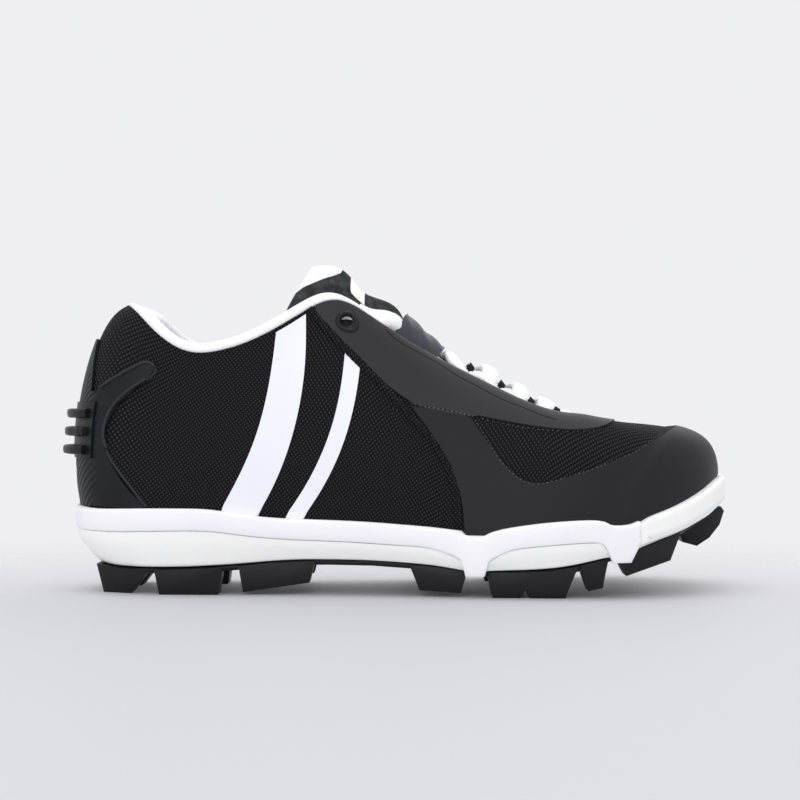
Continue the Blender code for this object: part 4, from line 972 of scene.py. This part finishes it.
for strand, start in (("first", -1), ("second", 1)):
    route = []
    ups = []
    side = start
    if strand == "first":
        corner = loop_places[1, 4]
        bar = (loop_places[-1, 4] + corner) / 2
        route.append(corner)
        ups.append(on_tongue(corner.x, corner.y, 0)[1])
        point, up = on_tongue(bar.x + BAR_FORWARD, bar.y, BAR_LIFT)
        route.append(point)
        ups.append(up)
    for number in (4, 3, 2, 1):
        place = loop_places[side, number]
        along_throat = (loop_places[side, 1] - loop_places[side, 4]).normalized()
        _, up = on_tongue(place.x, place.y, 0)
        for shift in (-AT_LOOP, 0, AT_LOOP):
            route.append(place + along_throat * shift + up * LOOP_LIFT)
            ups.append(up)
        if number > 1:
            following = loop_places[-side, number - 1]
            lift = OVER if (number % 2 == 0) == (start < 0) else UNDER
            point, up = on_tongue((place.x + following.x) / 2, SHOE_MIDDLE, lift)
            route.append(point)
            ups.append(up)
        side = -side
    point, up = on_tongue(SLEEVE_PLACE[0], SHOE_MIDDLE - side * SLEEVE_PLACE[1], SLEEVE_LIFT)
    route.append(point)
    ups.append(up)
    path = soft_path(route, 8)
    ups = soft_path(ups, 8)
    widths = []
    for point in path:
        nearest = min((point - place).length for place in loop_places.values())
        widths.append(LACE_WIDTH * (LOOP_PINCH + (1 - LOOP_PINCH) * min(nearest / PINCH_REACH, 1)))
    lace = tape_along(f"lace_{strand}", path, ups, widths, [LACE_THICKNESS] * len(path))
    if strand == "first":
        fit_to_shoe(lace, lace_cloth, "lace_white", "lace_crossings")
    else:
        fit_to_shoe(lace, lace_cloth, "lace_white")


# Seams. The mesh panel's folded front edge lies over both films, sewn down; single rows of thread
# run round the vamp, along the throat and between the films. Lines are drawn where the photo has
# them, in its pixels, and fall on the surface; the medial side is the same, mirrored.
FOCAL = LENS / SENSOR * PHOTO_SIZE     # pixels
STITCH_WIDTH = 0.45 * MM
STITCH_HEIGHT = 0.18 * MM
STITCH_RINGS = ((-0.5, 0.3), (-0.35, 0.9), (0.35, 0.9), (0.5, 0.3))       # share of its length, fullness
FOLD_RUFFLE = 900              # swells of the folded edge in a metre of it
FOLD_WIDTH = 3.2 * MM
FOLD_THICKNESS = 1.5 * MM
FOLD_SWELL = 0.5 * MM          # how much it gains or loses in each
FOLD_LIFT = 0.25 * MM          # of its middle over the films
FOLD_TOP = 0.85 * MM           # where its stitches lie over them
FOLD_STITCH = (0.9 * MM, 0.4 * MM, 1.5 * MM, 0.3 * MM)      # length, gap, width and height
FOLD_LINE = ((306, 306), (330, 332), (357, 360), (384, 386), (404, 408), (421, 427), (437, 447), (449, 469),
             (456, 494), (459, 524))
VAMP_LINE = ((474, 417), (478, 424), (487, 440), (497, 456), (507, 468), (518, 478), (528, 483), (540, 484),
             (554, 481), (574, 475), (596, 468), (612, 461), (630, 454), (643, 447), (653, 439), (664, 432))
STAY_LINE = ((478, 417), (490, 421), (506, 424), (522, 427), (538, 429), (554, 430.6), (570, 431.6),
             (588, 431), (600, 429))
FILM_SEAM = ((408, 403), (428, 407), (452, 411), (474, 416.5))
THROAT_SEAM = ((387, 331), (398, 341), (418, 352), (438, 363), (458, 376), (475, 385), (490, 393), (504, 400),
               (522, 407), (542, 415), (558, 420))
COUNTER_EDGE = ((146, 507), (130, 486), (110, 458), (103.5, 436), (106, 420), (114, 404), (128, 390.5),
                (141, 382), (152, 376), (156, 370), (152, 364), (144, 362.5), (128, 370), (111, 380),
                (99, 388.5))


def photo_ray(x, y, side):
    """Start and direction of the photo's ray through a pixel; the medial side takes its mirror."""
    start = EYE.copy()
    direction = Vector(((x - PHOTO_SIZE / 2) / FOCAL, 1, (PHOTO_SIZE / 2 - y) / FOCAL))
    if side > 0:
        start.y = 2 * SHOE_MIDDLE - start.y
        direction.y = -1
    return start, direction.normalized()


def stitch_row(name, line, length, gap, width, height):
    """A row of short, round-ended stitches along a line on a surface, in one piece."""
    bm = bmesh.new()
    travelled = 0.0
    for (point, normal), (after, _) in zip(line, line[1:]):
        travelled += (after - point).length
        if travelled < length + gap:
            continue
        travelled = 0.0
        ahead = (after - point).normalized()
        aside = ahead.cross(normal).normalized()
        rings = []
        for share, full in STITCH_RINGS:
            ring = []
            for k in range(6):
                wide = aside * math.cos(math.pi * k / 3) * width / 2
                tall = normal * math.sin(math.pi * k / 3) * height
                ring.append(bm.verts.new(point + ahead * length * share + (wide + tall) * full))
            rings.append(ring)
        for ring, following in zip(rings, rings[1:]):
            for k in range(6):
                bm.faces.new((ring[k], ring[(k + 1) % 6], following[(k + 1) % 6], following[k]))
        bm.faces.new(rings[0][::-1])
        bm.faces.new(rings[-1])
    bmesh.ops.recalc_face_normals(bm, faces=bm.faces)
    piece = new_piece(bm, name)
    piece.data.shade_smooth()
    return piece


def thread_finish(name, dark, light):
    return finish(name, dark, light, 500, 0.7, (3000, 0.3, 0.1 * MM), 0.2)


def line_on(surface, pixels, side, step):
    """Points at an even step, with outward directions, where a line of the photo meets a surface."""
    found = []
    for spot in soft_path([(x, y, 0) for x, y in pixels], 16):
        hit, normal, _, _ = surface.ray_cast(*photo_ray(spot.x, spot.y, side))
        if hit is None or normal.y * side <= 0:
            continue
        if not found or (hit - found[-1][0]).length > step:
            found.append((hit, normal))
    return found


def laid_tape(name, line, lift, widths, thicknesses, sides=14):
    """A flat tape along a line on a surface, with its middle lifted off it."""
    path = [point + normal * lift for point, normal in line]
    return tape_along(name, path, [normal for _, normal in line], widths, thicknesses, sides)


dressed = surface_of(upper, rand, eyestay)
heel_skin = surface_of(upper, counter)
pale_thread = thread_finish("pale_thread", linear(78, 78, 86), linear(120, 120, 128))
dark_thread = thread_finish("dark_thread", linear(10, 10, 11), linear(18, 18, 20))
# The piping is a lighter black than the counter: painted highlight along its raised edge.
lit_piping = pressed_film("counter_piping", linear(36, 38, 43), linear(48, 50, 55), 0.45)
STITCH_ROWS = (
    # name, line, length of a stitch and gap, in millimetres
    ("vamp_stitches", VAMP_LINE, 0.5, 1.2),
    ("stay_stitches", STAY_LINE, 0.5, 1.5),
    ("film_stitches", FILM_SEAM, 0.8, 0.8),
)
TRIMS = (
    # name, surface, line, step, width and thickness in millimetres, sides, material, slot
    ("throat_seam", dressed, THROAT_SEAM, 0.6, 0.55, 0.16, 8, dark_thread, "mesh_black"),
    ("film_seam", dressed, FILM_SEAM, 0.6, 0.4, 0.16, 8, dark_thread, "mesh_black"),
    ("counter_piping", heel_skin, COUNTER_EDGE, 0.7, 1.3, 1.6, 10, lit_piping, "moulded_black"),
)
for side_name, side in (("lateral", -1), ("medial", 1)):
    line = line_on(dressed, FOLD_LINE, side, 0.45 * MM)
    waves = [noise.noise(point * FOLD_RUFFLE) for point, _ in line]
    widths = [FOLD_WIDTH + FOLD_SWELL * wave for wave in waves]
    thicknesses = [FOLD_THICKNESS + FOLD_SWELL * wave for wave in waves]
    fold = laid_tape(f"mesh_fold_{side_name}", line, FOLD_LIFT, widths, thicknesses)
    lay_cloth(fold)
    fit_to_shoe(fold, mesh_cloth, "mesh_black")
    over_fold = [(point + normal * FOLD_TOP, normal) for point, normal in line]
    row = stitch_row(f"fold_stitches_{side_name}", over_fold, *FOLD_STITCH)
    fit_to_shoe(row, dark_thread, "mesh_black")
    for row_name, pixels, length, gap in STITCH_ROWS:
        line = line_on(dressed, pixels, side, 0.2 * MM)
        row = stitch_row(f"{row_name}_{side_name}", line, length * MM, gap * MM, STITCH_WIDTH, STITCH_HEIGHT)
        fit_to_shoe(row, pale_thread, "smooth_black")
    for seam_name, surface, pixels, step, width, thickness, sides, material, slot in TRIMS:
        line = line_on(surface, pixels, side, step * MM)
        trim = laid_tape(f"{seam_name}_{side_name}", line, 0, [width * MM] * len(line),
                         [thickness * MM] * len(line), sides)
        fit_to_shoe(trim, material, slot)
